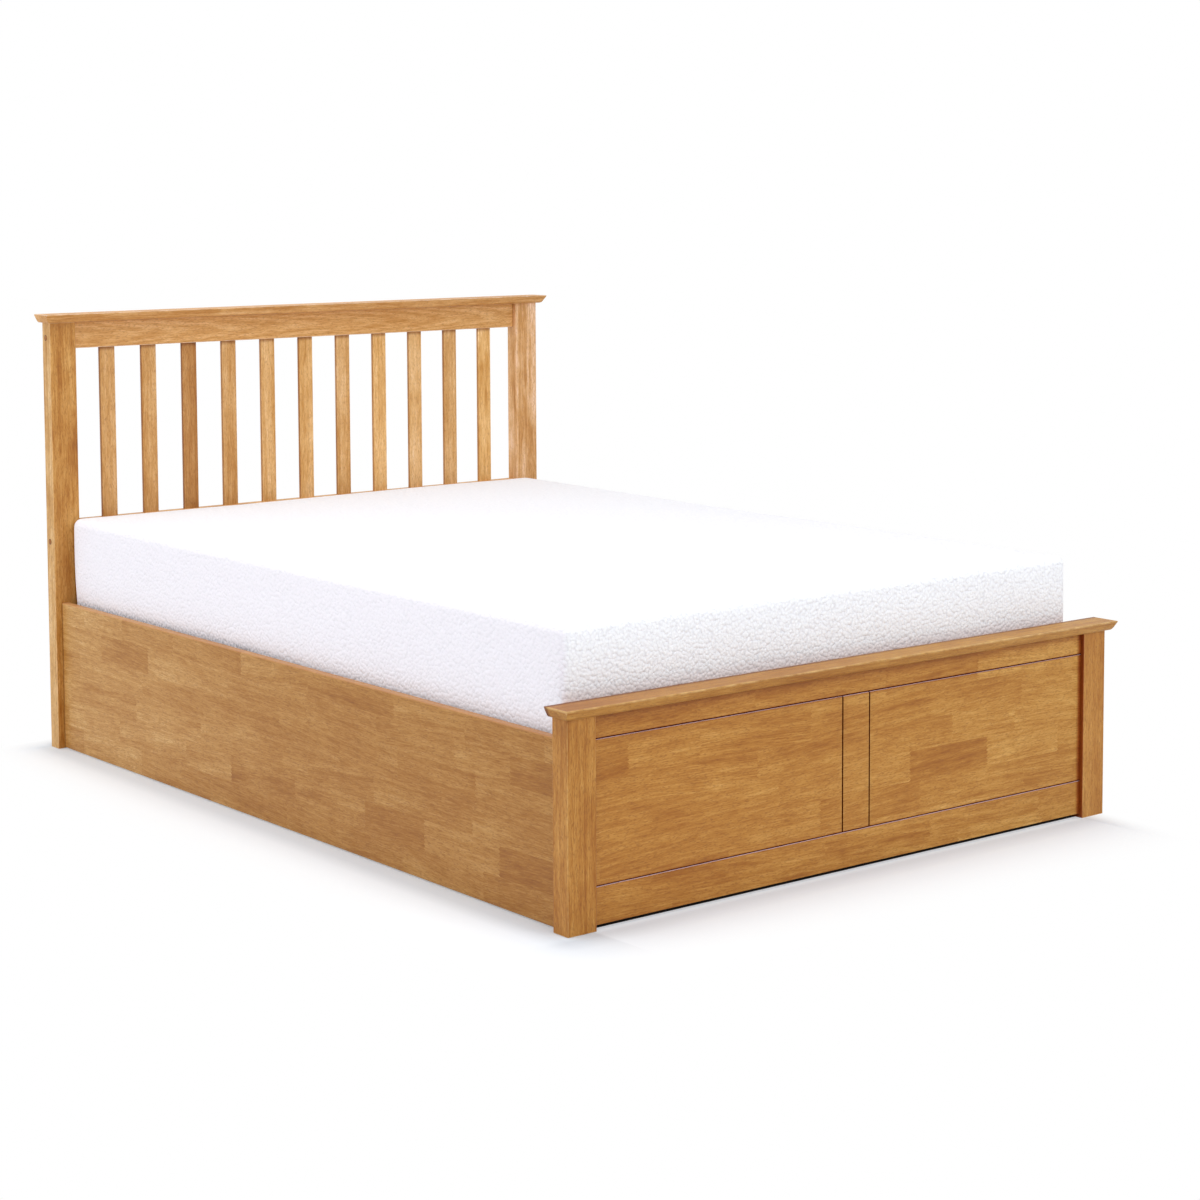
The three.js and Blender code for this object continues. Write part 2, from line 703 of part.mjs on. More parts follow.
// Base plate on the side panel, with the studs for both arms and the strut
function basePlate(side) {
  const layer = mirrored(side, basePlateInnerX, basePlateOuterX);
  const outline = roundedOutline(
    frontBase.x - basePlateMargin, strutBase.x + basePlateMargin,
    frontBase.y - basePlateDrop, rearBase.y + basePlateRise, basePlateCorner);
  const overlap = basePlateInnerX + basePlateThickness / 2;
  const headInnerX = rearArmInnerX - pinClearance;
  const strutHeadX = strutEyeInnerX - pinClearance;
  const studs = [
    pin(rearBase, bossRadius, mirrored(side, rearArmOuterX + runningGap, overlap)),
    pin(rearBase, pinRadius, mirrored(side, headInnerX - pinHeadThickness, overlap)),
    pin(rearBase, pinHeadRadius, mirrored(side, headInnerX - pinHeadThickness, headInnerX)),
    pin(frontBase, pinRadius, mirrored(side, bracketInnerX, overlap)),
    pin(frontBase, pinHeadRadius,
      mirrored(side, bracketInnerX, frontArmInnerX - pinClearance)),
    pin(strutBase, bossRadius, mirrored(side, strutEyeOuterX + runningGap, overlap)),
    pin(strutBase, strutPinRadius, mirrored(side, strutHeadX - pinHeadThickness, overlap)),
    pin(strutBase, pinHeadRadius, mirrored(side, strutHeadX - pinHeadThickness, strutHeadX)),
  ];
  const slotY = (rearBase.x + frontBase.x) / 2;
  const slotEnd = new THREE.Vector2(slotY + basePlateSlotWidth, rearBase.y);
  const slotStart = new THREE.Vector2(slotY - basePlateSlotWidth, rearBase.y);
  const wideLayer = [layer[0] - cutOverrun, layer[1] + cutOverrun];
  const slot = plate(linkOutline(slotStart, slotEnd, basePlateSlotWidth / 2), wideLayer);
  return combine([plate(outline, layer), ...studs], [slot]);
}

function rearArm(side) {
  const layer = mirrored(side, rearArmInnerX, rearArmOuterX);
  const holes = [rearBase, rearPlatform].map((p) => hole(p, pinRadius + pinClearance, layer));
  return combine([plate(linkOutline(rearBase, rearPlatform, rearArmRadius), layer)], holes);
}

// Bent front arm: its lower leg turns on the base plate, its bend carries the strut's pin, and
// the pin at its upper end runs in the platform bracket with play, as the hinge's open pivot
function frontArm(side) {
  const layer = mirrored(side, frontArmInnerX, frontArmOuterX);
  const overlap = frontArmInnerX + armThickness / 2;
  const strutHeadX = strutEyeInnerX - pinClearance;
  const collarX = strutEyeOuterX + pinClearance;
  const bodies = [
    plate(bentLinkOutline(frontBase, strutArm, frontPlatform, frontArmRadius), layer),
    pin(frontPlatform, pinRadius, mirrored(side, openPinHeadInnerX, overlap)),
    pin(frontPlatform, openPinHeadRadius,
      mirrored(side, openPinHeadInnerX, openPinHeadInnerX + pinHeadThickness)),
    pin(strutArm, strutPinRadius, mirrored(side, strutHeadX - pinHeadThickness, overlap)),
    pin(strutArm, pinHeadRadius, mirrored(side, strutHeadX - pinHeadThickness, strutHeadX)),
    pin(strutArm, pinHeadRadius, mirrored(side, collarX, collarX + pinHeadThickness)),
  ];
  return combine(bodies, [hole(frontBase, pinRadius + pinClearance, layer)]);
}

// Bracket on the frame's side, reaching below it to the rear arm's pin and to the wide hole of
// the open pivot
function platformBracket(side) {
  const layer = mirrored(side, bracketInnerX, bracketOuterX);
  const rearSeat = new THREE.Vector2(rearPlatform.x + bracketMargin, frameMiddleZ);
  const frontSeat = new THREE.Vector2(frontPlatform.x - bracketMargin, frameMiddleZ);
  const outline = beltOutline([
    [frontPlatform, bracketLobe], [rearPlatform, bracketRearLobe],
    [rearSeat, bracketSeatRadius], [frontSeat, bracketSeatRadius],
  ]);
  const headInnerX = rearArmInnerX - pinClearance;
  const overlap = bracketInnerX + bracketThickness / 2;
  const bodies = [
    plate(outline, layer),
    pin(rearPlatform, pinRadius, mirrored(side, headInnerX - pinHeadThickness, overlap)),
    pin(rearPlatform, pinHeadRadius, mirrored(side, headInnerX - pinHeadThickness, headInnerX)),
  ];
  return combine(bodies, [hole(frontPlatform, pinRadius + openPinPlay, layer)]);
}

// Strut pieces are made upright on their base pivot and then leant over to the arm's pin
const strutLength = strutBase.distanceTo(strutArm);
const strutLean = Math.atan2(strutArm.y - strutBase.y, strutArm.x - strutBase.x);

function leanStrut(geometry, side) {
  return geometry.rotateX(strutLean).translate(side * strutX, strutBase.x, strutBase.y);
}

function turned(points) {
  const profile = points.map(([radius, height]) => new THREE.Vector2(radius, height));
  return new THREE.LatheGeometry(profile, pinSides);
}

function eye(centreY, outerRadius) {
  const ring = new THREE.CylinderGeometry(outerRadius, outerRadius, strutEyeWidth, pinSides);
  return ring.rotateZ(Math.PI / 2).translate(0, centreY, 0);
}

function eyeBore(centreY, radius) {
  const bore = new THREE.CylinderGeometry(radius, radius, strutEyeWidth + cutOverrun, pinSides);
  return bore.rotateZ(Math.PI / 2).translate(0, centreY, 0);
}

function strutCylinder(side) {
  const mouth = strutLength - cylinderEndGap;
  const shoulder = mouth - cylinderGlandLength;
  const boreRadius = rodRadius + pinClearance;
  const tube = turned([
    [0, cylinderStart], [cylinderRadius, cylinderStart], [cylinderRadius, shoulder],
    [cylinderGlandRadius, mouth], [boreRadius, mouth],
    [boreRadius, cylinderStart + cylinderWall], [0, cylinderStart + cylinderWall],
  ]);
  const neck = turned([
    [0, 0], [strutEyeWidth / 2, 0], [strutEyeWidth / 2, cylinderStart + cylinderWall / 2],
    [0, cylinderStart + cylinderWall / 2],
  ]);
  const bore = eyeBore(0, strutPinRadius + pinClearance);
  return leanStrut(combine([tube, neck, eye(0, pinHeadRadius)], [bore]), side);
}

function strutRod(side) {
  const bottom = cylinderStart + cylinderWall + rodBottomGap;
  const rod = turned([
    [0, bottom], [rodRadius, bottom], [rodRadius, strutLength - pinHeadRadius],
    [0, strutLength - pinHeadRadius],
  ]);
  const bore = eyeBore(strutLength, strutPinRadius + strutPinPlay);
  return leanStrut(combine([rod, eye(strutLength, strutEyeRadius)], [bore]), side);
}

function buildLiftHinges() {
  const sides = [['left', -1], ['right', 1]];
  for (const [word, side] of sides) {
    addPiece(`hinge_plate_${word}`, basePlate(side), paintedSteel);
    addPiece(`rear_arm_${word}`, rearArm(side), paintedSteel);
    addPiece(`front_arm_${word}`, frontArm(side), paintedSteel);
    addPiece(`platform_bracket_${word}`, platformBracket(side), paintedSteel);
    addPiece(`strut_cylinder_${word}`, strutCylinder(side), paintedSteel);
    addPiece(`strut_rod_${word}`, strutRod(side), polishedSteel);
  }
}

// Mattress: rounded edges and corners, sides that swell a little, and a crowned top
const mattressEdgeSteps = 4;
const mattressSideSteps = 4;
const mattressCornerSteps = 5;
const mattressStraightSteps = 6;
const mattressCrownShares = [0.9, 0.7, 0.45, 0.2];

function mattressRing(inset, z) {
  const halfX = mattressWidth / 2 - mattressSideSwell - inset;
  const halfY = mattressLength / 2 - mattressSideSwell - inset;
  const radius = Math.max(mattressCornerRadius - inset, mattressEdgeRadius / 4);
  const middleY = headFaceY - headClearance - mattressLength / 2;
  const corners = [
    [halfX - radius, -halfY + radius, -Math.PI / 2], [halfX - radius, halfY - radius, 0],
    [-halfX + radius, halfY - radius, Math.PI / 2], [-halfX + radius, -halfY + radius, Math.PI],
  ];
  const ring = [];
  corners.forEach(([x, y, start], index) => {
    for (let i = 0; i <= mattressCornerSteps; i += 1) {
      const angle = start + Math.PI / 2 * i / mattressCornerSteps;
      ring.push(new THREE.Vector3(
        x + radius * Math.cos(angle), middleY + y + radius * Math.sin(angle), z));
    }
    const here = ring[ring.length - 1];
    const [nextX, nextY, nextStart] = corners[(index + 1) % corners.length];
    const there = new THREE.Vector3(
      nextX + radius * Math.cos(nextStart), middleY + nextY + radius * Math.sin(nextStart), z);
    for (let i = 1; i < mattressStraightSteps; i += 1) {
      ring.push(here.clone().lerp(there, i / mattressStraightSteps));
    }
  });
  return ring;
}

function buildMattress() {
  const shoulder = mattressBottom + mattressThickness - mattressCrown;
  const radius = mattressEdgeRadius;
  const rings = [];
  for (let i = 0; i <= mattressEdgeSteps; i += 1) {
    const angle = Math.PI / 2 * i / mattressEdgeSteps;
    rings.push(mattressRing(
      radius * (1 - Math.sin(angle)), mattressBottom + radius * (1 - Math.cos(angle))));
  }
  const sideHeight = shoulder - mattressBottom - 2 * radius;
  for (let i = 1; i < mattressSideSteps; i += 1) {
    const share = i / mattressSideSteps;
    rings.push(mattressRing(
      -mattressSideSwell * Math.sin(Math.PI * share), mattressBottom + radius + sideHeight * share));
  }
  for (let i = 0; i <= mattressEdgeSteps; i += 1) {
    const angle = Math.PI / 2 * i / mattressEdgeSteps;
    rings.push(mattressRing(
      radius * (1 - Math.cos(angle)), shoulder - radius * (1 - Math.sin(angle))));
  }
  const flatHalf = mattressWidth / 2 - mattressSideSwell - radius;
  for (const share of mattressCrownShares) {
    rings.push(mattressRing(
      mattressWidth / 2 - mattressSideSwell - flatHalf * share,
      shoulder + mattressCrown * (1 - share * share)));
  }
  addPiece('mattress', loft(rings), mattressCloth);
}

buildHeadboard();
buildFootboard();
buildStorageBase();
buildLiftFrame();
buildBedSlats();
buildMattressStop();
buildPullStrap();
buildLiftHinges();
buildMattress();

export default bed;
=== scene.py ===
import json
import math

import bmesh
import bpy
import numpy as np
from mathutils import Matrix, Vector


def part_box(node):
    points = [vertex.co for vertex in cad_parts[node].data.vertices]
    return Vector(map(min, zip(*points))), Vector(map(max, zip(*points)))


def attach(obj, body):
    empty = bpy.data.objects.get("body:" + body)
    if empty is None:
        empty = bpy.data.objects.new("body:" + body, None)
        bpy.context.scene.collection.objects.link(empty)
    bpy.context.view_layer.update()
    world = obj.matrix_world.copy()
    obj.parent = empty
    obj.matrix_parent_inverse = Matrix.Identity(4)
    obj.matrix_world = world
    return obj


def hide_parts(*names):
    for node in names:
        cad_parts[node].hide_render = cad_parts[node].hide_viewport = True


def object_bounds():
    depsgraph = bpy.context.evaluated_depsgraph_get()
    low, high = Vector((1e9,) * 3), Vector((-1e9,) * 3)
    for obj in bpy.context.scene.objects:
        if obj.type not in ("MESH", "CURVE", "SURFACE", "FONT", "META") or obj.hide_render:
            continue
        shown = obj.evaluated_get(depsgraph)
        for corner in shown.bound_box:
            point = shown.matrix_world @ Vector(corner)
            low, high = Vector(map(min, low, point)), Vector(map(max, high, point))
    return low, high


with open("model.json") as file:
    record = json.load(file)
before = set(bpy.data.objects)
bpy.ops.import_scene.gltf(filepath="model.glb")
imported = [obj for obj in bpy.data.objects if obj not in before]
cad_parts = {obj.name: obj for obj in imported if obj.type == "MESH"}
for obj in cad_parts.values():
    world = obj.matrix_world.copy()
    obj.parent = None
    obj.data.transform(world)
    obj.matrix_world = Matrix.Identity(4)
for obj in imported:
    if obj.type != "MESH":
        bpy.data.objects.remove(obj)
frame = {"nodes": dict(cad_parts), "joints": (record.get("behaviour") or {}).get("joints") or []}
cad_low, cad_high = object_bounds()
nodes = frame["nodes"]
SIDES = (("left", -1), ("right", 1))

# Small helpers for shader trees


def new_material(name):
    made = bpy.data.materials.new(name)
    made.use_nodes = True
    made.node_tree.nodes.clear()
    return made, made.node_tree


def set_all(target, settings):
    for key, value in settings.items():
        setattr(target, key, value)
    return target


def feed(tree, target, value):
    if isinstance(value, bpy.types.NodeSocket):
        tree.links.new(value, target)
    else:
        target.default_value = value


def feed_named(tree, node, **values):
    """Feed a node's inputs by their names, where _ stands for a space."""
    for name, value in values.items():
        feed(tree, node.inputs[name.replace("_", " ")], value)


def add_node(tree, kind, *values, **settings):
    """Add a shader node with its settings, and feed its first inputs in their order."""
    made = set_all(tree.nodes.new("ShaderNode" + kind), settings)
    for socket, value in zip(made.inputs, values):
        feed(tree, socket, value)
    return made


def result(tree, kind, *values, **settings):
    """The first output of a shader node that is added."""
    return add_node(tree, kind, *values, **settings).outputs[0]


def math_node(tree, operation, *values, clamp=False):
    return result(tree, "Math", *values, operation=operation, use_clamp=clamp)


def vector_node(tree, operation, *values):
    return result(tree, "VectorMath", *values, operation=operation)


def product(tree, *factors):
    """The factors multiplied one after another."""
    made = factors[0]
    for factor in factors[1:]:
        made = math_node(tree, "MULTIPLY", made, factor)
    return made


def total(tree, *terms):
    """The terms added one after another."""
    made = terms[0]
    for term in terms[1:]:
        made = math_node(tree, "ADD", made, term)
    return made


def absolute(tree, value):
    return math_node(tree, "ABSOLUTE", value)


def combine(tree, x, y, z):
    return result(tree, "CombineXYZ", x, y, z)


def axes(tree, vector):
    """The x, y and z of a vector."""
    return add_node(tree, "SeparateXYZ", vector).outputs[:3]


def coordinate(tree, kind="Object"):
    """Place or normal in the piece's own axes, which are the row frame's axes at rest."""
    return add_node(tree, "TexCoord").outputs[kind]


def noise_node(tree, vector, scale=1.0, detail=2.0, roughness=0.5, distortion=0.0):
    made = add_node(tree, "TexNoise")
    feed_named(tree, made, Vector=vector, Scale=scale, Detail=detail, Roughness=roughness,
               Distortion=distortion)
    return made.outputs[0]


def as_colour(value):
    return value if isinstance(value, bpy.types.NodeSocket) else (*value, 1.0)


def ramp_node(tree, value, stops):
    made = add_node(tree, "ValToRGB", value)
    elements = made.color_ramp.elements
    while len(elements) < len(stops):
        elements.new(0.5)
    for element, (position, colour) in zip(elements, stops):
        element.position = position
        element.color = as_colour(colour)
    return made.outputs[0]


def mix_colour(tree, share, first, second, blend="MIX"):
    made = add_node(tree, "Mix", share, data_type="RGBA", blend_type=blend)
    feed(tree, made.inputs[6], as_colour(first))
    feed(tree, made.inputs[7], as_colour(second))
    return made.outputs[2]


def tint_colour(tree, share, colour, tint):
    """The colour, multiplied by a tint as far as the share says."""
    return mix_colour(tree, share, colour, tint, blend="MULTIPLY")


def map_range(tree, value, low, high, out_low=0.0, out_high=1.0, interpolation="LINEAR"):
    return result(tree, "MapRange", value, low, high, out_low, out_high, clamp=True,
                  interpolation_type=interpolation)


def fade_out(tree, value, low, high):
    """1 up to the low value, falling to 0 at the high one."""
    return map_range(tree, value, low, high, 1.0, 0.0)


def choose(tree, share, first, second):
    """The first value where the share is 0, and the second where it is 1."""
    return map_range(tree, share, 0.0, 1.0, first, second)


def bump_node(tree, height, strength, distance):
    made = add_node(tree, "Bump")
    feed_named(tree, made, Strength=strength, Distance=distance, Height=height)
    return made.outputs[0]


def principled(tree, colour, roughness, normal=None, **others):
    shader = add_node(tree, "BsdfPrincipled")
    feed_named(tree, shader, Base_Color=as_colour(colour), Roughness=roughness, **others)
    if normal is not None:
        feed_named(tree, shader, Normal=normal)
    add_node(tree, "OutputMaterial", shader.outputs[0])


# Wood: one node group, used by each piece with its own grain direction, tone and seed

GROUP_INPUTS = ("Seed", "Tone", "Strip", "Block", "Blocks", "Figure", "Arch")
TOOTH_DEPTH = 0.004
TOOTH_SLOPE = 1.3
ROW_SHIFT = 7.31
SEED_SHIFT = 3.7
SEED_DEPTH = 1.9
DARK_RARITY = 6.0
DARK_SHADE = -0.24
BLOCK_SHADE = 0.08
BLOCK_JUMP = 9.0
BLOCK_LEAN = 0.14
ARCHED_FROM = 0.55
ARCH_BEND = 1900.0
ARCH_RATE = 6.5
ARCH_WANDER = 3.0
ARCH_SHADE = 0.07
RING_RATE = 42.0
RING_WANDER = 9.0
RING_SHADE = 0.035
PORE_CROWD = (0.56, 0.50)
PORE_FULL = 0.70
WOOD_ROUGHNESS = 0.40
FIBRE_ROUGHNESS = 0.16
FIBRE_HEIGHT = 0.6

# Layers of the figure: features per metre along and across the grain, detail, roughness,
# distortion, and how strongly the layer shades the wood
LAYERS = {
    "clouds": (1.9, 13.0, 3.0, 0.55, 0.5, 0.66),
    "lines": (1.0, 46.0, 2.0, 0.6, 1.1, 0.50),
    "patches": (9.0, 17.0, 3.0, 0.6, 0.0, 0.52),
    "streaks": (5.0, 115.0, 2.0, 0.6, 0.0, 0.42),
    "fibres": (34.0, 390.0, 2.0, 0.7, 0.0, 0.78),
    "pores": (130.0, 520.0, 1.0, 0.5, 0.0, 0.0),
}


def sine_of_turns(tree, turns):
    return math_node(tree, "SINE", product(tree, turns, 2 * math.pi))


def build_wood_group():
    tree = bpy.data.node_groups.new("stained_wood", "ShaderNodeTree")
    face = tree.interface
    face.new_socket("Vector", in_out="INPUT", socket_type="NodeSocketVector")
    for name in GROUP_INPUTS:
        face.new_socket(name, in_out="INPUT", socket_type="NodeSocketFloat")
    for name in ("Shade", "Pores", "Roughness", "Height"):
        face.new_socket(name, in_out="OUTPUT", socket_type="NodeSocketFloat")
    given = tree.nodes.new("NodeGroupInput").outputs
    vector, seed, tone, strip, block, blocks, figure, arch = given[:8]
    along, across, depth = axes(tree, vector)

    # glued blocks: rows of strips, cut into blocks of uneven length with toothed ends
    row = math_node(tree, "FLOOR", math_node(tree, "DIVIDE", across, strip))
    teeth = product(tree, math_node(tree, "PINGPONG", across, TOOTH_DEPTH), TOOTH_SLOPE)
    place = math_node(tree, "DIVIDE", total(tree, along, teeth), block)
    place = total(tree, place, product(tree, row, ROW_SHIFT), product(tree, seed, SEED_SHIFT))
    cells = add_node(tree, "TexVoronoi", voronoi_dimensions="1D", feature="F1")
    feed_named(tree, cells, W=place, Scale=1.0)
    parts = add_node(tree, "SeparateColor", cells.outputs["Color"])
    darkness, variety, bearing = parts.outputs[:3]
    few_dark = product(tree, math_node(tree, "POWER", darkness, DARK_RARITY), DARK_SHADE)
    all_vary = product(tree, math_node(tree, "SUBTRACT", variety, 0.5), BLOCK_SHADE)
    block_shade = product(tree, total(tree, few_dark, all_vary), blocks)
    jump = product(tree, variety, blocks, BLOCK_JUMP)

    # each block's own grain: its middle line, whether it is arched, and how it leans
    middle = product(tree, total(tree, row, 0.5), strip)
    offset = math_node(tree, "SUBTRACT", across, product(tree, middle, blocks))
    arched = math_node(tree, "MAXIMUM", math_node(tree, "GREATER_THAN", bearing, ARCHED_FROM),
                       math_node(tree, "SUBTRACT", 1.0, blocks))
    lean = product(tree, math_node(tree, "SUBTRACT", bearing, 0.5), blocks, BLOCK_LEAN)
    across = total(tree, across, product(tree, along, lean), jump)
    depth = total(tree, depth, product(tree, seed, SEED_DEPTH))
    base = combine(tree, along, across, depth)
    layers = {}
    for name, (length, width, detail, roughness, distortion, _) in LAYERS.items():
        stretched = vector_node(tree, "MULTIPLY", base, (length, width, width))
        layers[name] = noise_node(tree, stretched, 1.0, detail, roughness, distortion)

    # curved growth lines, arches, and the short dark flecks of the open pores
    rings = sine_of_turns(tree, total(tree, product(tree, across, RING_RATE),
                                      product(tree, layers["clouds"], RING_WANDER)))
    curve = sine_of_turns(tree, total(
        tree, product(tree, math_node(tree, "POWER", offset, 2.0), ARCH_BEND),
        product(tree, along, ARCH_RATE), product(tree, layers["clouds"], ARCH_WANDER)))
    curve = product(tree, curve, arched, arch)
    crowd = map_range(tree, layers["clouds"], 0.35, 0.65, *PORE_CROWD)
    pores = map_range(tree, layers["pores"], crowd, PORE_FULL)

    def shading(name):
        """A layer's shading, darker below the middle of its range and paler above it."""
        return product(tree, math_node(tree, "SUBTRACT", layers[name], 0.5), LAYERS[name][-1])

    shade = total(tree, shading("clouds"), shading("lines"), shading("patches"),
                  shading("streaks"), product(tree, rings, RING_SHADE))
    shade = product(tree, shade, figure)
    shade = total(tree, shade, product(tree, curve, ARCH_SHADE), shading("fibres"), block_shade,
                  product(tree, tone, 0.5))
    shade = math_node(tree, "ADD", shade, 0.5, clamp=True)
    roughness = total(tree, WOOD_ROUGHNESS, product(tree, layers["fibres"], FIBRE_ROUGHNESS))
    height = math_node(tree, "SUBTRACT", product(tree, layers["fibres"], FIBRE_HEIGHT), pores)
    sent = tree.nodes.new("NodeGroupOutput")
    for socket, value in zip(sent.inputs, (shade, pores, roughness, height)):
        feed(tree, socket, value)
    return tree


wood_group = build_wood_group()

# Colours of the wood, from its darkest shade to its palest
STAINED = [(0.0, (0.235, 0.070, 0.006)), (0.3, (0.352, 0.136, 0.018)),
           (0.55, (0.455, 0.212, 0.044)), (0.8, (0.56, 0.300, 0.086)), (1.0, (0.66, 0.40, 0.145))]
STAINED_PORE = (0.235, 0.083, 0.014)
PLAIN = [(0.0, (0.40, 0.25, 0.12)), (0.4, (0.55, 0.38, 0.205)), (0.7, (0.66, 0.48, 0.28)),
         (1.0, (0.76, 0.60, 0.39))]
PLAIN_PORE = (0.34, 0.20, 0.09)
PORE_SHARE = 0.50
WOOD_SPECULAR = 0.30
WOOD_BUMP = (0.20, 0.0005)
# painted highlight along eased edges
EDGE_HIGHLIGHT = (0.78, 0.54, 0.30)
TOP_PALE = (0.56, 0.27, 0.125)
TOP_PALE_SHARE = 0.45
TOP_PALE_DEPTH = (0.0032, 0.0012)
SHADE_CORE = 0.3
# inside a routed groove: dark, partly stain and partly painted shade, with a painted highlight on its
# upward-facing ledge
GROOVE_DARK = (0.070, 0.003, 0.0)
GROOVE_LEDGE_HIGHLIGHT = (0.86, 0.60, 0.58)

# A wood's own axes, along the grain, across it and through it, for each grain direction
GRAIN = {"x": "XZY", "y": "YZX", "z": "ZXY"}

# How far a normal's part along an axis has to reach for a face to count as facing that way
FACING_SIDE = (0.6, 0.9)
FACING_UP = (0.85, 0.98)
FACING_LEDGE = (0.3, 0.8)


def tinted(colour, tint):
    return tuple(min(c * t, 1.0) for c, t in zip(colour, tint))


def edge_share(tree, place, node, width):
    """A share for the painted highlight on the long edges of a piece, falling to 0 a little way from
    them.
    """
    low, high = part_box(node)
    offset = vector_node(tree, "ABSOLUTE", vector_node(tree, "SUBTRACT", place, (low + high) / 2))
    a, b, c = axes(tree, vector_node(tree, "SUBTRACT", (high - low) / 2, offset))
    second = math_node(tree, "MAXIMUM", math_node(tree, "MINIMUM", a, b),
                       math_node(tree, "MINIMUM", math_node(tree, "MAXIMUM", a, b), c))
    rubbed = noise_node(tree, place, 40.0, 2.0, 0.6)
    return product(tree, fade_out(tree, second, width / 3, width),
                   map_range(tree, rubbed, 0.35, 0.65, 0.15, 0.60))


def wood(name, grain, seed, tone=0.0, blocks=0.0, strip=0.06, block=0.26, figure=1.0, arch=0.0,
         shift=0.0, stops=STAINED, pore=STAINED_PORE, coat=0.05, tint=(1.0, 1.0, 1.0),
         side_tint=None, drift=None, lit_top=None, pale_top=None, edges=None, rub=0.0018,
         pools=(), groove=None):
    """Wood with its grain along one axis.

    tint colours all of it, the side tint the faces to the left and right as painted light and shade,
    drift the grain's far end, and lit_top the top as painted light, from one tint to another.
    pale_top is the height of a paler top edge, and edges names the piece whose edges get a painted
    highlight. Bands of painted shade, partly dark joints, lie round the planes given for them, each
    given as axis, stop, reach and tint. groove is the range of y that a routed groove fills; inside
    it the colour is dark, partly stain and partly painted shade, with a painted highlight on its
    ledge.
    """
    made, tree = new_material(name)
    place = coordinate(tree)
    sockets = dict(zip("XYZ", axes(tree, place)))
    order = [sockets[letter] for letter in GRAIN[grain]]
    if shift:
        order[1] = total(tree, order[1], shift)
    figured = add_node(tree, "Group", combine(tree, *order), seed, tone, strip, block,
                       blocks, figure, arch, node_tree=wood_group)
    colour = ramp_node(tree, figured.outputs["Shade"], [(at, tinted(c, tint)) for at, c in stops])
    pores = product(tree, figured.outputs["Pores"], PORE_SHARE)
    colour = mix_colour(tree, pores, colour, tinted(pore, tint))
    if drift is not None:
        start, end, end_tint = drift
        colour = tint_colour(tree, map_range(tree, order[0], start, end), colour, end_tint)
    side_facing, _, up_facing = axes(tree, coordinate(tree, "Normal"))
    # painted light and shade: faces to the left and right take their own tint
    if side_tint is not None:
        share = map_range(tree, absolute(tree, side_facing), *FACING_SIDE)
        colour = tint_colour(tree, share, colour, side_tint)
    if pale_top is not None:
        start, end = (pale_top - depth for depth in TOP_PALE_DEPTH)
        share = map_range(tree, sockets["Z"], start, end, 0.0, TOP_PALE_SHARE)
        colour = mix_colour(tree, share, colour, TOP_PALE)
    # painted highlight along the piece's long edges, broken up by noise
    if edges is not None:
        share = edge_share(tree, place, edges, rub)
        colour = mix_colour(tree, share, colour, tinted(EDGE_HIGHLIGHT, tint))
    if lit_top is not None:
        start, end, first_tint, second_tint = lit_top
        lit = mix_colour(tree, map_range(tree, order[0], start, end), first_tint, second_tint)
        colour = tint_colour(tree, map_range(tree, up_facing, *FACING_UP), colour, lit)
    # painted shade, partly dark joints, in bands round the given planes
    for axis, stop, reach, band_tint in pools:
        gap = absolute(tree, math_node(tree, "SUBTRACT", sockets[axis], stop))
        colour = tint_colour(tree, fade_out(tree, gap, SHADE_CORE * reach, reach), colour, band_tint)
    specular = WOOD_SPECULAR
    # the groove: dark inside, partly stain and partly painted shade, and a painted highlight on its
    # ledge
    if groove is not None:
        near, far = groove
        inside = product(tree, math_node(tree, "GREATER_THAN", sockets["Y"], near),
                         math_node(tree, "LESS_THAN", sockets["Y"], far))
        ledge = map_range(tree, up_facing, *FACING_LEDGE)
        colour = mix_colour(tree, inside, colour,
                            mix_colour(tree, ledge, GROOVE_DARK, GROOVE_LEDGE_HIGHLIGHT))
        specular = choose(tree, inside, WOOD_SPECULAR, 0.0)
        coat = choose(tree, inside, coat, 0.0)
    principled(tree, colour, figured.outputs["Roughness"],
               bump_node(tree, figured.outputs["Height"], *WOOD_BUMP),
               Coat_Weight=coat, Coat_Roughness=0.25, Specular_IOR_Level=specular)
    return made


# Places on the frame's pieces

PANEL_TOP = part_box("side_panel_left")[1].z
RAIL_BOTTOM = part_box("head_top_rail")[0].z
RAIL_MIDDLE = (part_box("head_top_rail")[0].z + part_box("head_top_rail")[1].z) / 2
HEAD_POST_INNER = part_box("head_post_right")[0].x
HEAD_POST_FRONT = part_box("head_post_left")[0].y
FOOT_POST_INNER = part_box("foot_post_right")[0].x
FOOT_PANEL_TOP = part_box("foot_panel")[1].z
FOOT_CAP_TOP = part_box("foot_cap_rail")[1].z
FOOT_CAP_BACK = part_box("foot_cap_rail")[1].y
GROOVE_DEPTH = 0.0031
GROOVE_COLOURED_DEPTH = 0.0028
GROOVE_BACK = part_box("foot_panel")[0].y + GROOVE_DEPTH
GROOVE_HEIGHTS = (0.079, 0.348)

# Tints of the frame's materials, as the photo's light and stain have them
SIDE_TINT = (0.99, 1.02, 1.13)
# the side panels grow paler toward the head end: partly the wood's tone, partly painted light
SIDE_DRIFT = (0.0, 0.95, (1.26, 1.44, 1.98))
FOOT_TINT = (1.00, 0.90, 0.63)
FOOT_DRIFT = (-0.5, 0.5, (1.12, 1.25, 1.50))
CAP_TINT = (1.00, 0.97, 0.75)
CAP_LIGHT = (-0.6, 0.3, (0.86, 0.76, 0.66), (1.16, 1.27, 1.28))
RAIL_TINT = (1.46, 1.62, 2.5)
FOOT_POST_TINTS = {"left": (0.975, 0.875, 0.62), "right": (1.05, 0.975, 0.79)}
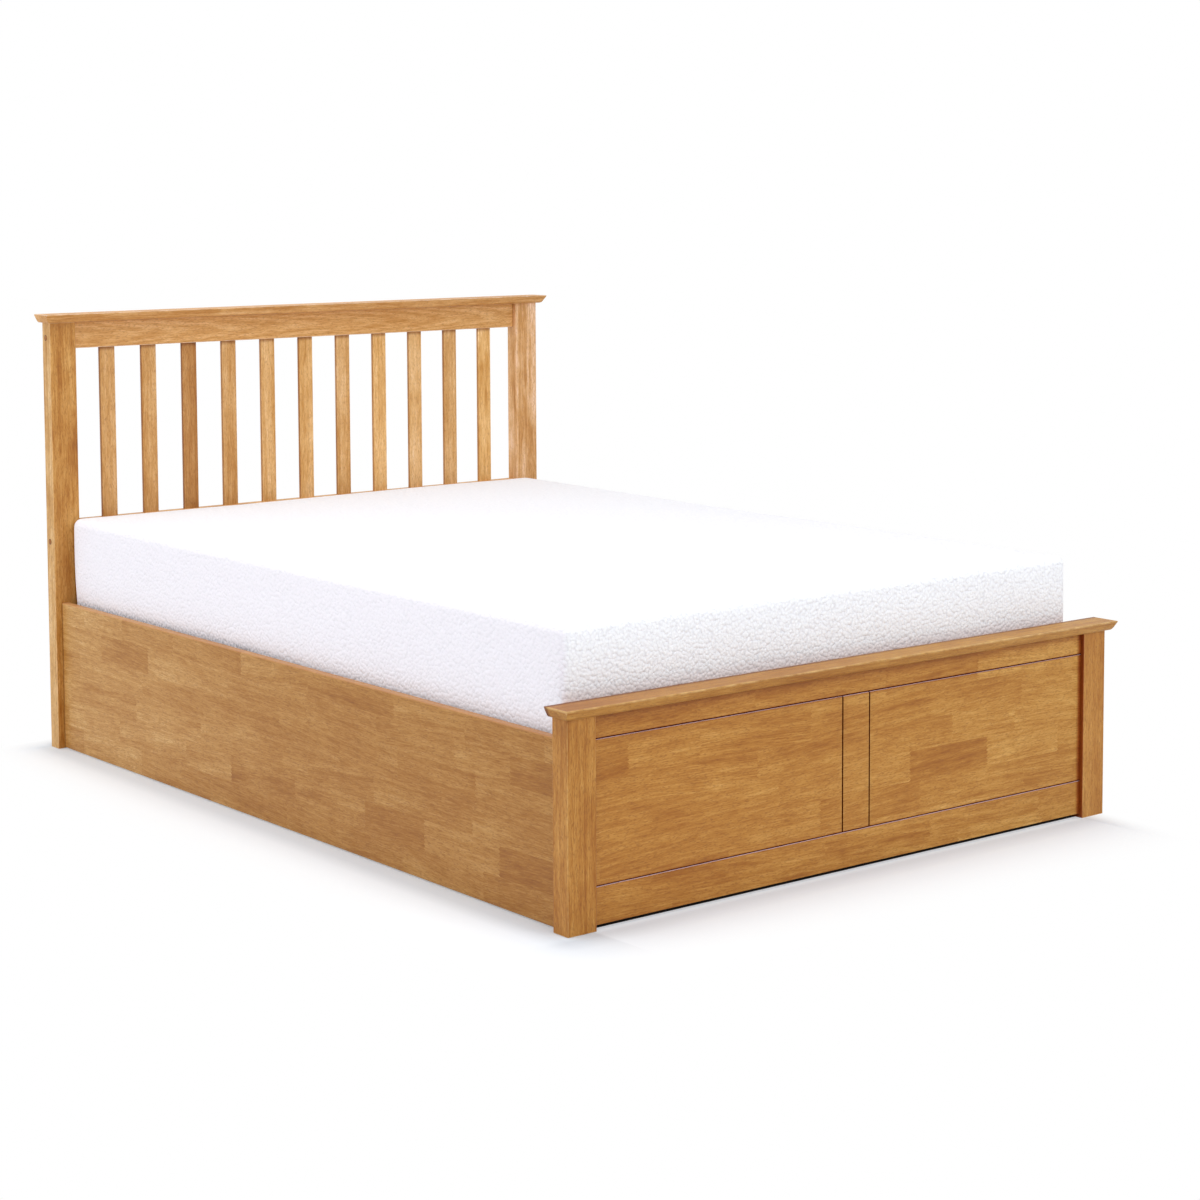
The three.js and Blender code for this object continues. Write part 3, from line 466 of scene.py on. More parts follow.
# painted light: the foot posts' left and right faces are paler
FOOT_POST_SIDE_SHADING = (1.06, 1.08, 1.2)
FOOT_POST_FIGURES = {"left": 1.3, "right": 0.8}
HEAD_POST_TINTS = {"left": (1.14, 1.12, 1.10), "right": (1.68, 2.12, 4.9)}
# painted light, partly the paler side grain: the head posts' left and right faces are paler
HEAD_POST_SIDE_SHADING = {"left": (1.22, 1.50, 2.5), "right": (1.06, 1.06, 1.04)}
HEAD_POST_EDGES = {"left": "head_post_left", "right": None}
# painted shade: the slats' left and right faces are darker
SLAT_SIDE_SHADE = (0.66, 0.52, 0.38)
PLUG_TINT = (0.9, 0.75, 0.65)

# Darkening where pieces meet: partly their dark joints, mostly painted shade and painted shadow
JOINT_SHADE = (0.625, 0.52, 0.43)
DEEP_JOINT_SHADE = (0.50, 0.22, 0.06)
# painted shadow under the foot cap, and the mattress's painted shadow on the cap's back edge
CAP_SHADOW = (0.76, 0.62, 0.46)
CAP_BACK_SHADOW = (0.42, 0.26, 0.13)
GROOVE_EDGE_SHADE = (0.80, 0.62, 0.46)
FOOT_PANEL_SHADING = [
    ("X", -FOOT_POST_INNER, 0.005, JOINT_SHADE), ("X", FOOT_POST_INNER, 0.013, DEEP_JOINT_SHADE),
    ("Z", FOOT_PANEL_TOP, 0.026, CAP_SHADOW),
    *(("Z", height, 0.0045, GROOVE_EDGE_SHADE) for height in GROOVE_HEIGHTS)]
RAIL_SHADING = [("X", -HEAD_POST_INNER, 0.0022, JOINT_SHADE), ("X", HEAD_POST_INNER, 0.0040, JOINT_SHADE)]

# The headboard's slats from left to right: how light their figure is, and how pale their stain
SLAT_TONES = [0.05, 0.02, -0.12, 0.06, 0.02, 0.08, 0.03, 0.10, 0.14, 0.08, 0.12]
SLAT_PALENESS = [0.64, 0.64, 0.22, 0.66, 0.95, 1.03, 0.78, 1.25, 0.92, 0.75, 1.40]

# Eased edges: width, and the angle from which an edge is eased
BOARD_EDGE = (0.0010, 60.0)
FOOT_PANEL_EDGE = (0.0005, 60.0)
CAP_EDGE = (0.0012, 24.0)
STEEL_EDGE = (0.0003, 60.0)
SMALL_PART_ANGLE = 40.0
STEEL_PARTS = ("rear_arm", "front_arm", "hinge_plate", "platform_bracket", "strut", "lift_frame",
               "mattress_stop")
WELD_DISTANCE = 0.00002
FACE_WEIGHT = 60


def assign(node, material):
    data = nodes[node].data
    data.materials.clear()
    data.materials.append(material)


def set_wood(node, grain, seed, **looks):
    assign(node, wood(f"{node}_wood", grain, seed, **looks))


def add_modifier(obj, kind, **settings):
    set_all(obj.modifiers.new(kind.lower(), kind), settings)


def add_bevel(obj, width, angle, segments=2):
    add_modifier(obj, "BEVEL", width=width, segments=segments, limit_method="ANGLE",
                 angle_limit=math.radians(angle))


def shade_smooth(obj):
    for polygon in obj.data.polygons:
        polygon.use_smooth = True


def finish_edges(node, width, angle, segments):
    """Small eased edges and smooth shading over the rounds; the node's own mesh stays as it is."""
    obj = nodes[node]
    shade_smooth(obj)
    add_modifier(obj, "WELD", merge_threshold=WELD_DISTANCE)
    add_bevel(obj, width, angle, segments)
    add_modifier(obj, "WEIGHTED_NORMAL", keep_sharp=False, weight=FACE_WEIGHT)


# Wood of the side panels, posts and footboard

for (word, side), seed in zip(SIDES, (3.2, 8.9)):
    set_wood(f"side_panel_{word}", "y", seed, tone=-0.02, blocks=1.0, figure=0.7, arch=0.35,
             tint=SIDE_TINT, drift=SIDE_DRIFT, pale_top=PANEL_TOP,
             pools=[("Y", HEAD_POST_FRONT, 0.007, JOINT_SHADE)])
    set_wood(f"head_post_{word}", "z", 11.3 + side, tone=0.02, figure=1.4,
             tint=HEAD_POST_TINTS[word], side_tint=HEAD_POST_SIDE_SHADING[word],
             edges=HEAD_POST_EDGES[word])
    set_wood(f"foot_post_{word}", "z", 21.7 + side, tone=-0.02 + 0.06 * side,
             figure=FOOT_POST_FIGURES[word], tint=FOOT_POST_TINTS[word],
             side_tint=FOOT_POST_SIDE_SHADING, edges=f"foot_post_{word}",
             pools=[("X", side * FOOT_POST_INNER, 0.0016, DEEP_JOINT_SHADE)])
set_wood("foot_panel", "x", 5.6, tone=0.04, blocks=0.8, figure=0.9, arch=0.6, shift=0.028,
         tint=FOOT_TINT, drift=FOOT_DRIFT, pools=FOOT_PANEL_SHADING,
         groove=(GROOVE_BACK - GROOVE_COLOURED_DEPTH, GROOVE_BACK))
set_wood("foot_cap_rail", "x", 31.4, tone=0.03, tint=CAP_TINT, lit_top=CAP_LIGHT,
         edges="foot_cap_rail", rub=0.0045, pools=[("Y", FOOT_CAP_BACK, 0.013, CAP_BACK_SHADOW)])

# Wood of the headboard

set_wood("head_panel", "x", 7.7, blocks=0.8, block=0.3, figure=0.9, tint=SIDE_TINT)
set_wood("head_cap_rail", "x", 33.9, tone=0.05, tint=RAIL_TINT, edges="head_cap_rail")
set_wood("head_top_rail", "x", 35.1, tone=0.07, figure=0.45, arch=1.0, shift=-RAIL_MIDDLE,
         tint=RAIL_TINT, edges="head_top_rail", pools=RAIL_SHADING)
set_wood("head_lower_rail", "x", 37.2, tone=0.05, tint=RAIL_TINT, pools=RAIL_SHADING)
for index, (tone, pale) in enumerate(zip(SLAT_TONES, SLAT_PALENESS), 1):
    set_wood(f"head_slat_{index:02d}", "z", 41.0 + 1.7 * index, tone=tone,
             tint=(0.95 + 0.59 * pale, 0.86 + 0.99 * pale, 0.90 + 2.25 * pale),
             side_tint=SLAT_SIDE_SHADE, pools=[("Z", RAIL_BOTTOM, 0.010, JOINT_SHADE)])

# Plain wood of the battens, bearers and platform slats

plain_x = wood("plain_wood_x", "x", 61.3, stops=PLAIN, pore=PLAIN_PORE, coat=0.0)
plain_y = wood("plain_wood_y", "y", 63.8, stops=PLAIN, pore=PLAIN_PORE, coat=0.0)
for word, _ in SIDES:
    assign(f"side_batten_{word}", plain_y)
for node in ("foot_batten", "floor_bearer_foot", "floor_bearer_middle", "floor_bearer_head"):
    assign(node, plain_x)
bed_slats = sorted(node for node in nodes if node.startswith("bed_slat_"))
for index, node in enumerate(bed_slats, 1):
    set_wood(node, "x", 71.0 + 2.3 * index, tone=0.12 * ((index * 5) % 7 - 3) / 3, figure=0.8,
             stops=PLAIN, pore=PLAIN_PORE)


# Floor boards, and the steel of the lift


def board_material():
    made, tree = new_material("hardboard")
    place = coordinate(tree)
    cloud = noise_node(tree, place, 9.0, 4.0, 0.6)
    speck = noise_node(tree, place, 420.0, 3.0, 0.7)
    shade = total(tree, product(tree, cloud, 0.5), product(tree, speck, 0.5))
    colour = ramp_node(tree, shade, [(0.3, (0.17, 0.085, 0.035)), (0.7, (0.30, 0.165, 0.075))])
    principled(tree, colour, 0.62, bump_node(tree, speck, 0.25, 0.0004))
    return made


def steel_material(name, colour, roughness, metallic, grain=900.0, strength=0.12):
    """Paint or bare metal; rubber too, with a coarse grain and no metal."""
    made, tree = new_material(name)
    place = coordinate(tree)
    texture = noise_node(tree, place, grain, 2.0, 0.5)
    cloud = noise_node(tree, place, 14.0, 4.0, 0.6)
    rough = total(tree, roughness - 0.06, product(tree, cloud, 0.12))
    tint = mix_colour(tree, cloud, tuple(c * 0.8 for c in colour), colour)
    principled(tree, tint, rough, bump_node(tree, texture, strength, 0.0004), Metallic=metallic)
    return made


hardboard = board_material()
black_steel = steel_material("black_steel", (0.030, 0.030, 0.032), 0.46, 0.0)
cylinder_paint = steel_material("cylinder_paint", (0.016, 0.016, 0.018), 0.30, 0.0, strength=0.03)
bright_rod = steel_material("bright_rod", (0.62, 0.63, 0.66), 0.16, 1.0, grain=300.0, strength=0.01)
zinc = steel_material("zinc_steel", (0.55, 0.56, 0.58), 0.34, 1.0, grain=500.0, strength=0.06)
rubber = steel_material("holder_rubber", (0.022, 0.022, 0.023), 0.72, 0.0, grain=1400.0)
for node in ("floor_panel_foot", "floor_panel_head"):
    assign(node, hardboard)
for node in ("lift_frame", "mattress_stop"):
    assign(node, black_steel)
for word, _ in SIDES:
    for part in ("hinge_plate", "rear_arm", "front_arm", "platform_bracket"):
        assign(f"{part}_{word}", black_steel)
    assign(f"strut_cylinder_{word}", cylinder_paint)
    assign(f"strut_rod_{word}", bright_rod)

for node in nodes:
    if node in ("mattress", "pull_strap"):
        continue
    if node == "foot_panel":
        finish_edges(node, *FOOT_PANEL_EDGE, segments=1)
    elif node.endswith("cap_rail"):
        finish_edges(node, *CAP_EDGE, segments=2)
    elif node.startswith(STEEL_PARTS):
        finish_edges(node, *STEEL_EDGE, segments=1)
    else:
        finish_edges(node, *BOARD_EDGE, segments=2)


# Mattress: foam core in a knitted cover


LOOP_SIZE = 0.0068
LOOP_SMOOTHNESS = 0.22
LOOP_HEIGHT = 0.0026
LOOP_STRENGTH = (0.46, 0.62)
# painted shade in the pits between the loops, stronger on the foot face
PIT_SHADE_SHARE = (0.26, 0.40)
PIT_SHADE_RANGE = (0.28, 0.80)
# one cover colour, given as painted light and shade: its top, sides and foot each have their own
COVER_TOP_SHADING = (0.968, 0.960, 0.985)
COVER_SIDE_SHADING = (0.930, 0.902, 0.955)
COVER_FOOT_SHADING = (0.985, 0.992, 1.000)
COVER_PIT_SHADE = (0.835, 0.830, 0.880)
# painted reflection: the wood's warm colour on the cover's foot just above the foot cap
WOOD_REFLECTION_TINT = (1.0, 0.86, 0.80)
WOOD_REFLECTION_RANGE = (-0.004, 0.018)
# painted shade: dark specks on the cover's sides just above the side panels, towards the head end
PANEL_SHADE_COLOUR = (0.36, 0.40, 0.47)
PANEL_SHADE_HEIGHT = 0.013
PANEL_SHADE_PLACES = (-0.1, 0.2)
PANEL_SHADE_SPECKS = (0.44, 0.60, 0.08, 0.62)


def mattress_material():
    """Knitted cover of small curled loops, warmer over the foot cap as a painted reflection of
    the wood and dark beside the panels as painted shade; painted light and shade give its top,
    sides and foot their own colours, and painted shade lies in the loops' pits.
    """
    made, tree = new_material("knitted_cover")
    place = coordinate(tree)
    warp = add_node(tree, "TexNoise")
    feed_named(tree, warp, Vector=place, Scale=90.0, Detail=1.0)
    bent = vector_node(tree, "SUBTRACT", warp.outputs["Color"], (0.5, 0.5, 0.5))
    bent = vector_node(tree, "MULTIPLY", bent, (LOOP_SIZE / 2, LOOP_SIZE / 2, LOOP_SIZE / 2))
    bent = vector_node(tree, "ADD", place, bent)
    loops = add_node(tree, "TexVoronoi", feature="SMOOTH_F1")
    feed_named(tree, loops, Vector=bent, Scale=1.0 / LOOP_SIZE, Smoothness=LOOP_SMOOTHNESS)
    from_middle = loops.outputs["Distance"]
    squared = math_node(tree, "POWER", from_middle, 2.0)
    mound = math_node(tree, "SUBTRACT", 1.0, product(tree, squared, 1.6))
    fuzz = noise_node(tree, place, 620.0, 2.0, 0.6)
    height = total(tree, mound, product(tree, fuzz, 0.16))

    side_facing, back_facing, _ = axes(tree, coordinate(tree, "Normal"))
    footward = fade_out(tree, back_facing, -0.85, -0.35)
    sideward = map_range(tree, absolute(tree, side_facing), 0.35, 0.85)
    # painted shade in the pits between the loops, stronger on the foot face
    pit_shade = map_range(tree, from_middle, *PIT_SHADE_RANGE)
    pit_shade = product(tree, pit_shade, choose(tree, footward, *PIT_SHADE_SHARE))
    # painted light and shade: the top, foot and sides each get their own colour
    colour = mix_colour(tree, footward, COVER_TOP_SHADING, COVER_FOOT_SHADING)
    colour = mix_colour(tree, sideward, colour, COVER_SIDE_SHADING)
    colour = mix_colour(tree, pit_shade, colour, COVER_PIT_SHADE)

    _, y, z = axes(tree, place)
    # painted reflection of the wood's warm colour just above the foot cap
    low, high = (FOOT_CAP_TOP + reach for reach in WOOD_REFLECTION_RANGE)
    wood_reflection = product(tree, fade_out(tree, z, low, high), footward)
    colour = tint_colour(tree, wood_reflection, colour, WOOD_REFLECTION_TINT)
    # painted shade: dark specks on the cover's sides just above the side panels, towards the head end
    specks = map_range(tree, noise_node(tree, place, 150.0, 2.0, 0.6), *PANEL_SHADE_SPECKS)
    panel_shade = product(tree, fade_out(tree, z, PANEL_TOP, PANEL_TOP + PANEL_SHADE_HEIGHT), sideward,
                  map_range(tree, y, *PANEL_SHADE_PLACES), specks)
    colour = mix_colour(tree, panel_shade, colour, PANEL_SHADE_COLOUR)
    normal = bump_node(tree, height, choose(tree, footward, *LOOP_STRENGTH), LOOP_HEIGHT)
    principled(tree, colour, 0.92, normal, Specular_IOR_Level=0.2,
               Sheen_Weight=0.15, Sheen_Roughness=0.5)
    return made


def new_object(name, data):
    made = bpy.data.objects.new(name, data)
    bpy.context.scene.collection.objects.link(made)
    return made


def mesh_object(name, builder):
    data = bpy.data.meshes.new(name)
    builder.to_mesh(data)
    builder.free()
    data.update()
    return new_object(name, data)


def apply_modifiers(obj):
    bpy.context.view_layer.update()
    evaluated = obj.evaluated_get(bpy.context.evaluated_depsgraph_get())
    data = bpy.data.meshes.new_from_object(evaluated)
    obj.modifiers.clear()
    obj.data = data


def coordinates(data):
    points = np.empty(len(data.vertices) * 3, np.float32)
    data.vertices.foreach_get("co", points)
    return points.reshape(-1, 3).astype(np.float64)


def set_coordinates(data, points):
    data.vertices.foreach_set("co", points.astype(np.float32).ravel())
    data.update()


# The cover's mesh, its swelling, and how it presses on the headboard and over the panels
COVER_EDGE = 0.017
COVER_STEP = 0.017
COVER_SHRINK = 0.003
COVER_SWELL_LIMIT = 0.004
COVER_CROWN = 0.004
COVER_SLACK = 0.0011
COVER_HEAD_REACH = 0.006
COVER_HEAD_RISE = 0.0045
COVER_HEAD_BULGE = 0.0035
COVER_PAST_BOX = 0.002
PANEL_LIP = 0.05
CLOTH_FRAMES = 20
CLOTH_SETTINGS = {
    "quality": 4, "mass": 0.3, "tension_stiffness": 40, "compression_stiffness": 40,
    "shear_stiffness": 20, "bending_stiffness": 8, "use_pressure": True,
    "uniform_pressure_force": 4}


def spread(length, edge_steps=4):
    """Places along one side of the cover: even in the middle, closer over the rounded edge."""
    half = length / 2
    straight = half - COVER_EDGE
    count = max(2, round(2 * straight / COVER_STEP))
    middle = [straight * (2 * i / count - 1) for i in range(count + 1)]
    rounding = [straight + COVER_EDGE * math.tan(math.pi / 4 * i / edge_steps)
                for i in range(1, edge_steps + 1)]
    return [-v for v in reversed(rounding)] + middle + rounding


def rounded_box(size):
    """Even grid over a box whose edges and corners are round."""
    places = [spread(length) for length in size]
    inner = Vector([length / 2 - COVER_EDGE for length in size])
    builder = bmesh.new()
    made = {}

    def corner(i, j, k):
        if (i, j, k) not in made:
            point = Vector((places[0][i], places[1][j], places[2][k]))
            core = Vector([max(-inner[a], min(inner[a], point[a])) for a in range(3)])
            made[i, j, k] = builder.verts.new(core + (point - core).normalized() * COVER_EDGE)
        return made[i, j, k]

    last = [len(row) - 1 for row in places]
    for a, b, c in ((0, 1, 2), (1, 2, 0), (2, 0, 1)):
        for end in (0, last[c]):
            for i in range(last[a]):
                for j in range(last[b]):
                    corners = []
                    for u, v in ((i, j), (i + 1, j), (i + 1, j + 1), (i, j + 1)):
                        index = [0, 0, 0]
                        index[a], index[b], index[c] = u, v, end
                        corners.append(corner(*index))
                    if end == 0:
                        corners.reverse()
                    builder.faces.new(corners)
    return builder


def slack_wave(points):
    """Slow, uneven waves in the cover, the same at each run."""
    x, y, z = points.T
    wave = np.sin(6.1 * x + 2.3 * y + 0.7) * np.sin(4.7 * y - 3.1 * z + 1.9)
    wave += 0.6 * np.sin(17.0 * x - 7.3 * y + 21.0 * z) * np.sin(11.9 * y + 13.0 * z + 0.4)
    return wave


def inflate(pad):
    """Air pressure in the cover, stepped as cloth."""
    cloth = pad.modifiers.new("cloth", "CLOTH")
    set_all(cloth.settings, CLOTH_SETTINGS)
    cloth.settings.effector_weights.gravity = 0
    cloth.collision_settings.use_collision = False
    cloth.point_cache.frame_start = 1
    cloth.point_cache.frame_end = CLOTH_FRAMES
    scene = bpy.context.scene
    for step in range(1, CLOTH_FRAMES + 1):
        scene.frame_set(step)
    apply_modifiers(pad)
    scene.frame_set(1)


def build_mattress():
    low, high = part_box("mattress")
    centre = (low + high) / 2
    size = high - low
    shrunk = [length - 2 * COVER_SHRINK for length in size]
    shrunk[2] -= COVER_CROWN
    pad = mesh_object("mattress_cover", rounded_box(shrunk))
    rest = coordinates(pad.data)
    rest += np.array(centre)
    rest[:, 2] -= COVER_CROWN / 2
    set_coordinates(pad.data, rest)
    inflate(pad)
    step = coordinates(pad.data) - rest
    length = np.linalg.norm(step, axis=1, keepdims=True)
    step *= np.minimum(1.0, COVER_SWELL_LIMIT / np.maximum(length, 1e-9))
    moved = rest + step

    # the crown over the top, and the slack of the cover
    across = (moved[:, 0] - centre.x) / (size.x / 2)
    along = (moved[:, 1] - centre.y) / (size.y / 2)
    height = np.clip((moved[:, 2] - centre.z) / (size.z / 2), 0.0, 1.0) ** 4
    crown = np.clip(1.0 - across ** 2, 0.0, 1.0) * np.clip(1.0 - along ** 4, 0.0, 1.0)
    moved[:, 2] += COVER_CROWN * crown * height
    outward = (moved - np.array(centre)) / (np.array(size) / 2)
    outward = np.sign(outward) * np.abs(outward) ** 8
    moved += outward * (COVER_SLACK * slack_wave(moved))[:, None]
    for axis, (least, most) in enumerate(zip(low, high)):
        past_low = 0.0 if axis == 2 else COVER_PAST_BOX
        moved[:, axis] = np.clip(moved[:, axis], least - past_low, most + COVER_PAST_BOX)

    # the head end presses on the headboard, rises a little and bulges above the side panels
    near_head = np.clip(along, 0.0, 1.0)
    moved[:, 1] += COVER_HEAD_REACH * near_head ** 6
    moved[:, 2] += COVER_HEAD_RISE * near_head * height
    above_panels = np.clip((moved[:, 2] - PANEL_TOP) / PANEL_LIP, 0.0, 1.0)
    moved[:, 0] += COVER_HEAD_BULGE * across ** 9 * near_head ** 3 * above_panels
    set_coordinates(pad.data, moved)
    add_modifier(pad, "SUBSURF", levels=1, render_levels=1)
    apply_modifiers(pad)
    shade_smooth(pad)
    pad.data.materials.append(mattress_material())
    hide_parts("mattress")
    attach(pad, "lift_platform")


build_mattress()


# Pull strap: folded webbing


WEBBING_DARK = (0.035, 0.033, 0.032)
WEBBING_PALE = (0.075, 0.07, 0.066)
RIB_RATE = 2600.0
ROW_RATE = 3400.0
STRAP_EDGE = 0.0009


def webbing_material():
    made, tree = new_material("strap_webbing")
    x, _, z = axes(tree, coordinate(tree))
    weave = product(tree, math_node(tree, "SINE", product(tree, x, RIB_RATE)),
                    math_node(tree, "SINE", product(tree, z, ROW_RATE)))
    colour = mix_colour(tree, map_range(tree, weave, -1.0, 1.0), WEBBING_DARK, WEBBING_PALE)
    principled(tree, colour, 0.85, bump_node(tree, weave, 0.4, 0.0006), Sheen_Weight=0.2)
    return made


def build_strap():
    strap = new_object("pull_strap_webbing", nodes["pull_strap"].data.copy())
    strap.data.materials.clear()
    strap.data.materials.append(webbing_material())
    shade_smooth(strap)
    add_modifier(strap, "WELD", merge_threshold=WELD_DISTANCE)
    add_bevel(strap, STRAP_EDGE, SMALL_PART_ANGLE)
    apply_modifiers(strap)
    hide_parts("pull_strap")
    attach(strap, "lift_platform")


build_strap()


# Small hardware: wood plugs, bolts, screws, pin ends and slat holders


def add_turned(builder, profile, frame_of, sides=24):
    """Add a closed body turned from (radius, height) points about the local z axis."""
    rings = []
    for radius, height in profile:
        turns = [2 * math.pi * i / sides for i in range(sides)] if radius else [0.0]
        rings.append([builder.verts.new(frame_of @ Vector((
            radius * math.cos(turn), radius * math.sin(turn), height))) for turn in turns])
    for low, high in zip(rings, rings[1:]):
        for i in range(sides):
            j = (i + 1) % sides
            corners = (low[i % len(low)], low[j % len(low)], high[j % len(high)], high[i % len(high)])
            builder.faces.new(list(dict.fromkeys(corners)))


def facing(place, direction):
    turn = Vector(direction).to_track_quat("Z", "Y").to_matrix().to_4x4()
    return Matrix.Translation(Vector(place)) @ turn


def add_block(builder, low, high):
    """Add a box between two corners."""
    made = bmesh.ops.create_cube(builder, size=1.0)["verts"]
    low, high = Vector(low), Vector(high)
    for vertex in made:
        vertex.co = Vector([low[a] + (high[a] - low[a]) * (vertex.co[a] + 0.5) for a in range(3)])


def hardware(name, builder, body, material=zinc, bevel_width=0.0):
    bmesh.ops.recalc_face_normals(builder, faces=builder.faces)
    piece = mesh_object(name, builder)
    piece.data.materials.append(material)
    if bevel_width:
        add_bevel(piece, bevel_width, SMALL_PART_ANGLE)
    shade_smooth(piece)
    add_modifier(piece, "WEIGHTED_NORMAL")
    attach(piece, body)


PLUG_RADIUS = 0.0054
PLUG_BEHIND_FACE = 0.021
PLUG_BELOW_TOP = 0.036
PLUG_LOWER_HEIGHT = 0.496
PLUG_PROFILE = [(0, -0.001), (PLUG_RADIUS, -0.001), (PLUG_RADIUS, 0.0002),
                (0.9 * PLUG_RADIUS, 0.0006), (0, 0.0008)]
RIM_PROFILE = [(0.99 * PLUG_RADIUS, -0.0008), (1.30 * PLUG_RADIUS, -0.0008),
               (1.30 * PLUG_RADIUS, 0.00012), (0.99 * PLUG_RADIUS, 0.00018),
               (0.99 * PLUG_RADIUS, -0.0008)]


def rim_material():
    made, tree = new_material("plug_rim_stain")
    speck = noise_node(tree, coordinate(tree), 900.0)
    principled(tree, mix_colour(tree, speck, (0.10, 0.035, 0.010), (0.20, 0.08, 0.022)), 0.6)
    return made


def build_plugs():
    """Wood plugs over the rail bolts, on the outer sides of the head posts."""
    plugs, rims = bmesh.new(), bmesh.new()
    for word, side in SIDES:
        low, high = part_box(f"head_post_{word}")
        x = low.x if side < 0 else high.x
        for z in (high.z - PLUG_BELOW_TOP, PLUG_LOWER_HEIGHT):
            out = facing((x, low.y + PLUG_BEHIND_FACE, z), (side, 0, 0))
            add_turned(plugs, PLUG_PROFILE, out)
            add_turned(rims, RIM_PROFILE, out)
    plug_wood = wood("plug_wood", "x", 91.7, tone=-0.3, tint=PLUG_TINT)
    hardware("head_post_plugs", plugs, "bed_base", plug_wood)
    hardware("head_post_plug_rims", rims, "bed_base", rim_material())


# Turned outlines of the washers, bolt heads, nuts, screws and pin ends, as radius and height
WASHER_PROFILE = [(0, -0.0002), (0.0082, -0.0002), (0.0085, 0.0001), (0.0085, 0.0006),
                  (0.0082, 0.0008), (0, 0.0008)]
HEX_PROFILE = [(0, 0.0006), (0.0054, 0.0006), (0.0060, 0.0010), (0.0060, 0.0028),
               (0.0052, 0.0033), (0, 0.0033)]
NUT_PROFILE = [(0, 0.0006), (0.0062, 0.0006), (0.0068, 0.0011), (0.0068, 0.0040),
               (0.0060, 0.0046), (0.0032, 0.0046), (0.0030, 0.0058), (0, 0.0060)]
SCREW_PROFILE = [(0, -0.0008), (0.0040, -0.0008), (0.0045, -0.0001), (0.0044, 0.0002),
                 (0.0020, 0.0003), (0.0015, -0.0006), (0, -0.0006)]
DOME_PROFILE = [(0, -0.0002), (0.0056, -0.0002), (0.0056, 0.0002), (0.0050, 0.0009),
                (0.0034, 0.0014), (0.0016, 0.0017), (0, 0.0018)]


def add_bolt(builder, place, direction, head=HEX_PROFILE):
    """Add a washer with a hexagon head or nut on it."""
    out = facing(place, direction)
    add_turned(builder, WASHER_PROFILE, out)
    add_turned(builder, head, out, sides=6)


PLATE_THICKNESS = 0.003
PLATE_SCREW_INSETS = (0.012, 0.011)
PIN_HEAD = 0.0024
FRONT_PIN_REACH = 0.0080
STRUT_EYE_RADIUS = 0.015
BRACKET_BOLT_INSET = 0.016
FRAME_WEB = 0.003


def side_x(node, word, side, inner):
    """The x of a hinge piece's side that faces the bed's middle, or of its outer side."""
    reach = sorted(abs(corner.x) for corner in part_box(f"{node}_{word}"))
    return side * reach[0 if inner else 1]


def build_hinge_hardware():
    """Screws of the base plates, bolts of the platform brackets and ends of the pivot pins."""
    joints = {joint["name"]: joint["pos_m"] for joint in frame["joints"] if "pos_m" in joint}
    screws, bolts = bmesh.new(), bmesh.new()
    ends = {body: bmesh.new() for body in ("bed_base", "front_arms", "lift_platform")}
    inset_y, inset_z = PLATE_SCREW_INSETS
    for word, side in SIDES:
        low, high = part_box(f"hinge_plate_{word}")
        plate_x = side_x("hinge_plate", word, side, inner=False) - side * PLATE_THICKNESS
        for y in (low.y + inset_y, (low.y + high.y) / 2, high.y - inset_y):
            for z in (low.z + inset_z, high.z - inset_z):
                add_turned(screws, SCREW_PROFILE, facing((plate_x, y, z), (-side, 0, 0)))
        rear_x = side_x("rear_arm", word, side, inner=True) - side * PIN_HEAD
        front_x = side_x("front_arm", word, side, inner=False) - side * FRONT_PIN_REACH
        strut_x = side_x("hinge_plate", word, side, inner=True)
        low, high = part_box(f"strut_rod_{word}")
        eye = (strut_x, low.y + STRUT_EYE_RADIUS, high.z - STRUT_EYE_RADIUS)
        for body, x, pivot in (("bed_base", rear_x, joints["rear_arm_swing"]),
                               ("lift_platform", rear_x, joints["platform_tilt"]),
                               ("bed_base", strut_x, joints["strut_swing"]),
                               ("bed_base", front_x, joints["front_arm_swing"]),
                               ("front_arms", strut_x, eye)):
            add_turned(ends[body], DOME_PROFILE, facing((x, *pivot[1:]), (-side, 0, 0)))
        low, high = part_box(f"platform_bracket_{word}")
        bracket_x = side_x("platform_bracket", word, side, inner=False)
        web_x = side * (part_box("lift_frame")[1].x - FRAME_WEB)
        z = high.z - BRACKET_BOLT_INSET
        for y in (low.y + BRACKET_BOLT_INSET, high.y - BRACKET_BOLT_INSET):
            add_bolt(bolts, (bracket_x, y, z), (side, 0, 0))
            add_bolt(bolts, (web_x, y, z), (-side, 0, 0), head=NUT_PROFILE)
    hardware("hinge_plate_screws", screws, "bed_base")
    hardware("bracket_bolts", bolts, "lift_platform")
    for body, builder in ends.items():
        hardware(f"pin_ends_{body}", builder, body)


HOLDER_WALL = 0.0028
HOLDER_REACH = 0.030
HOLDER_GAP = 0.0002
HOLDER_OVERLAP = 0.0004
HOLDER_EDGE = 0.0008
STOP_BOLT_SHARE = 0.82
STOP_BOLT_INSET = 0.020
STOP_PLATE = 0.003
STRAP_BOLT_HEIGHT = 0.014
STRAP_THICKNESS = 0.003


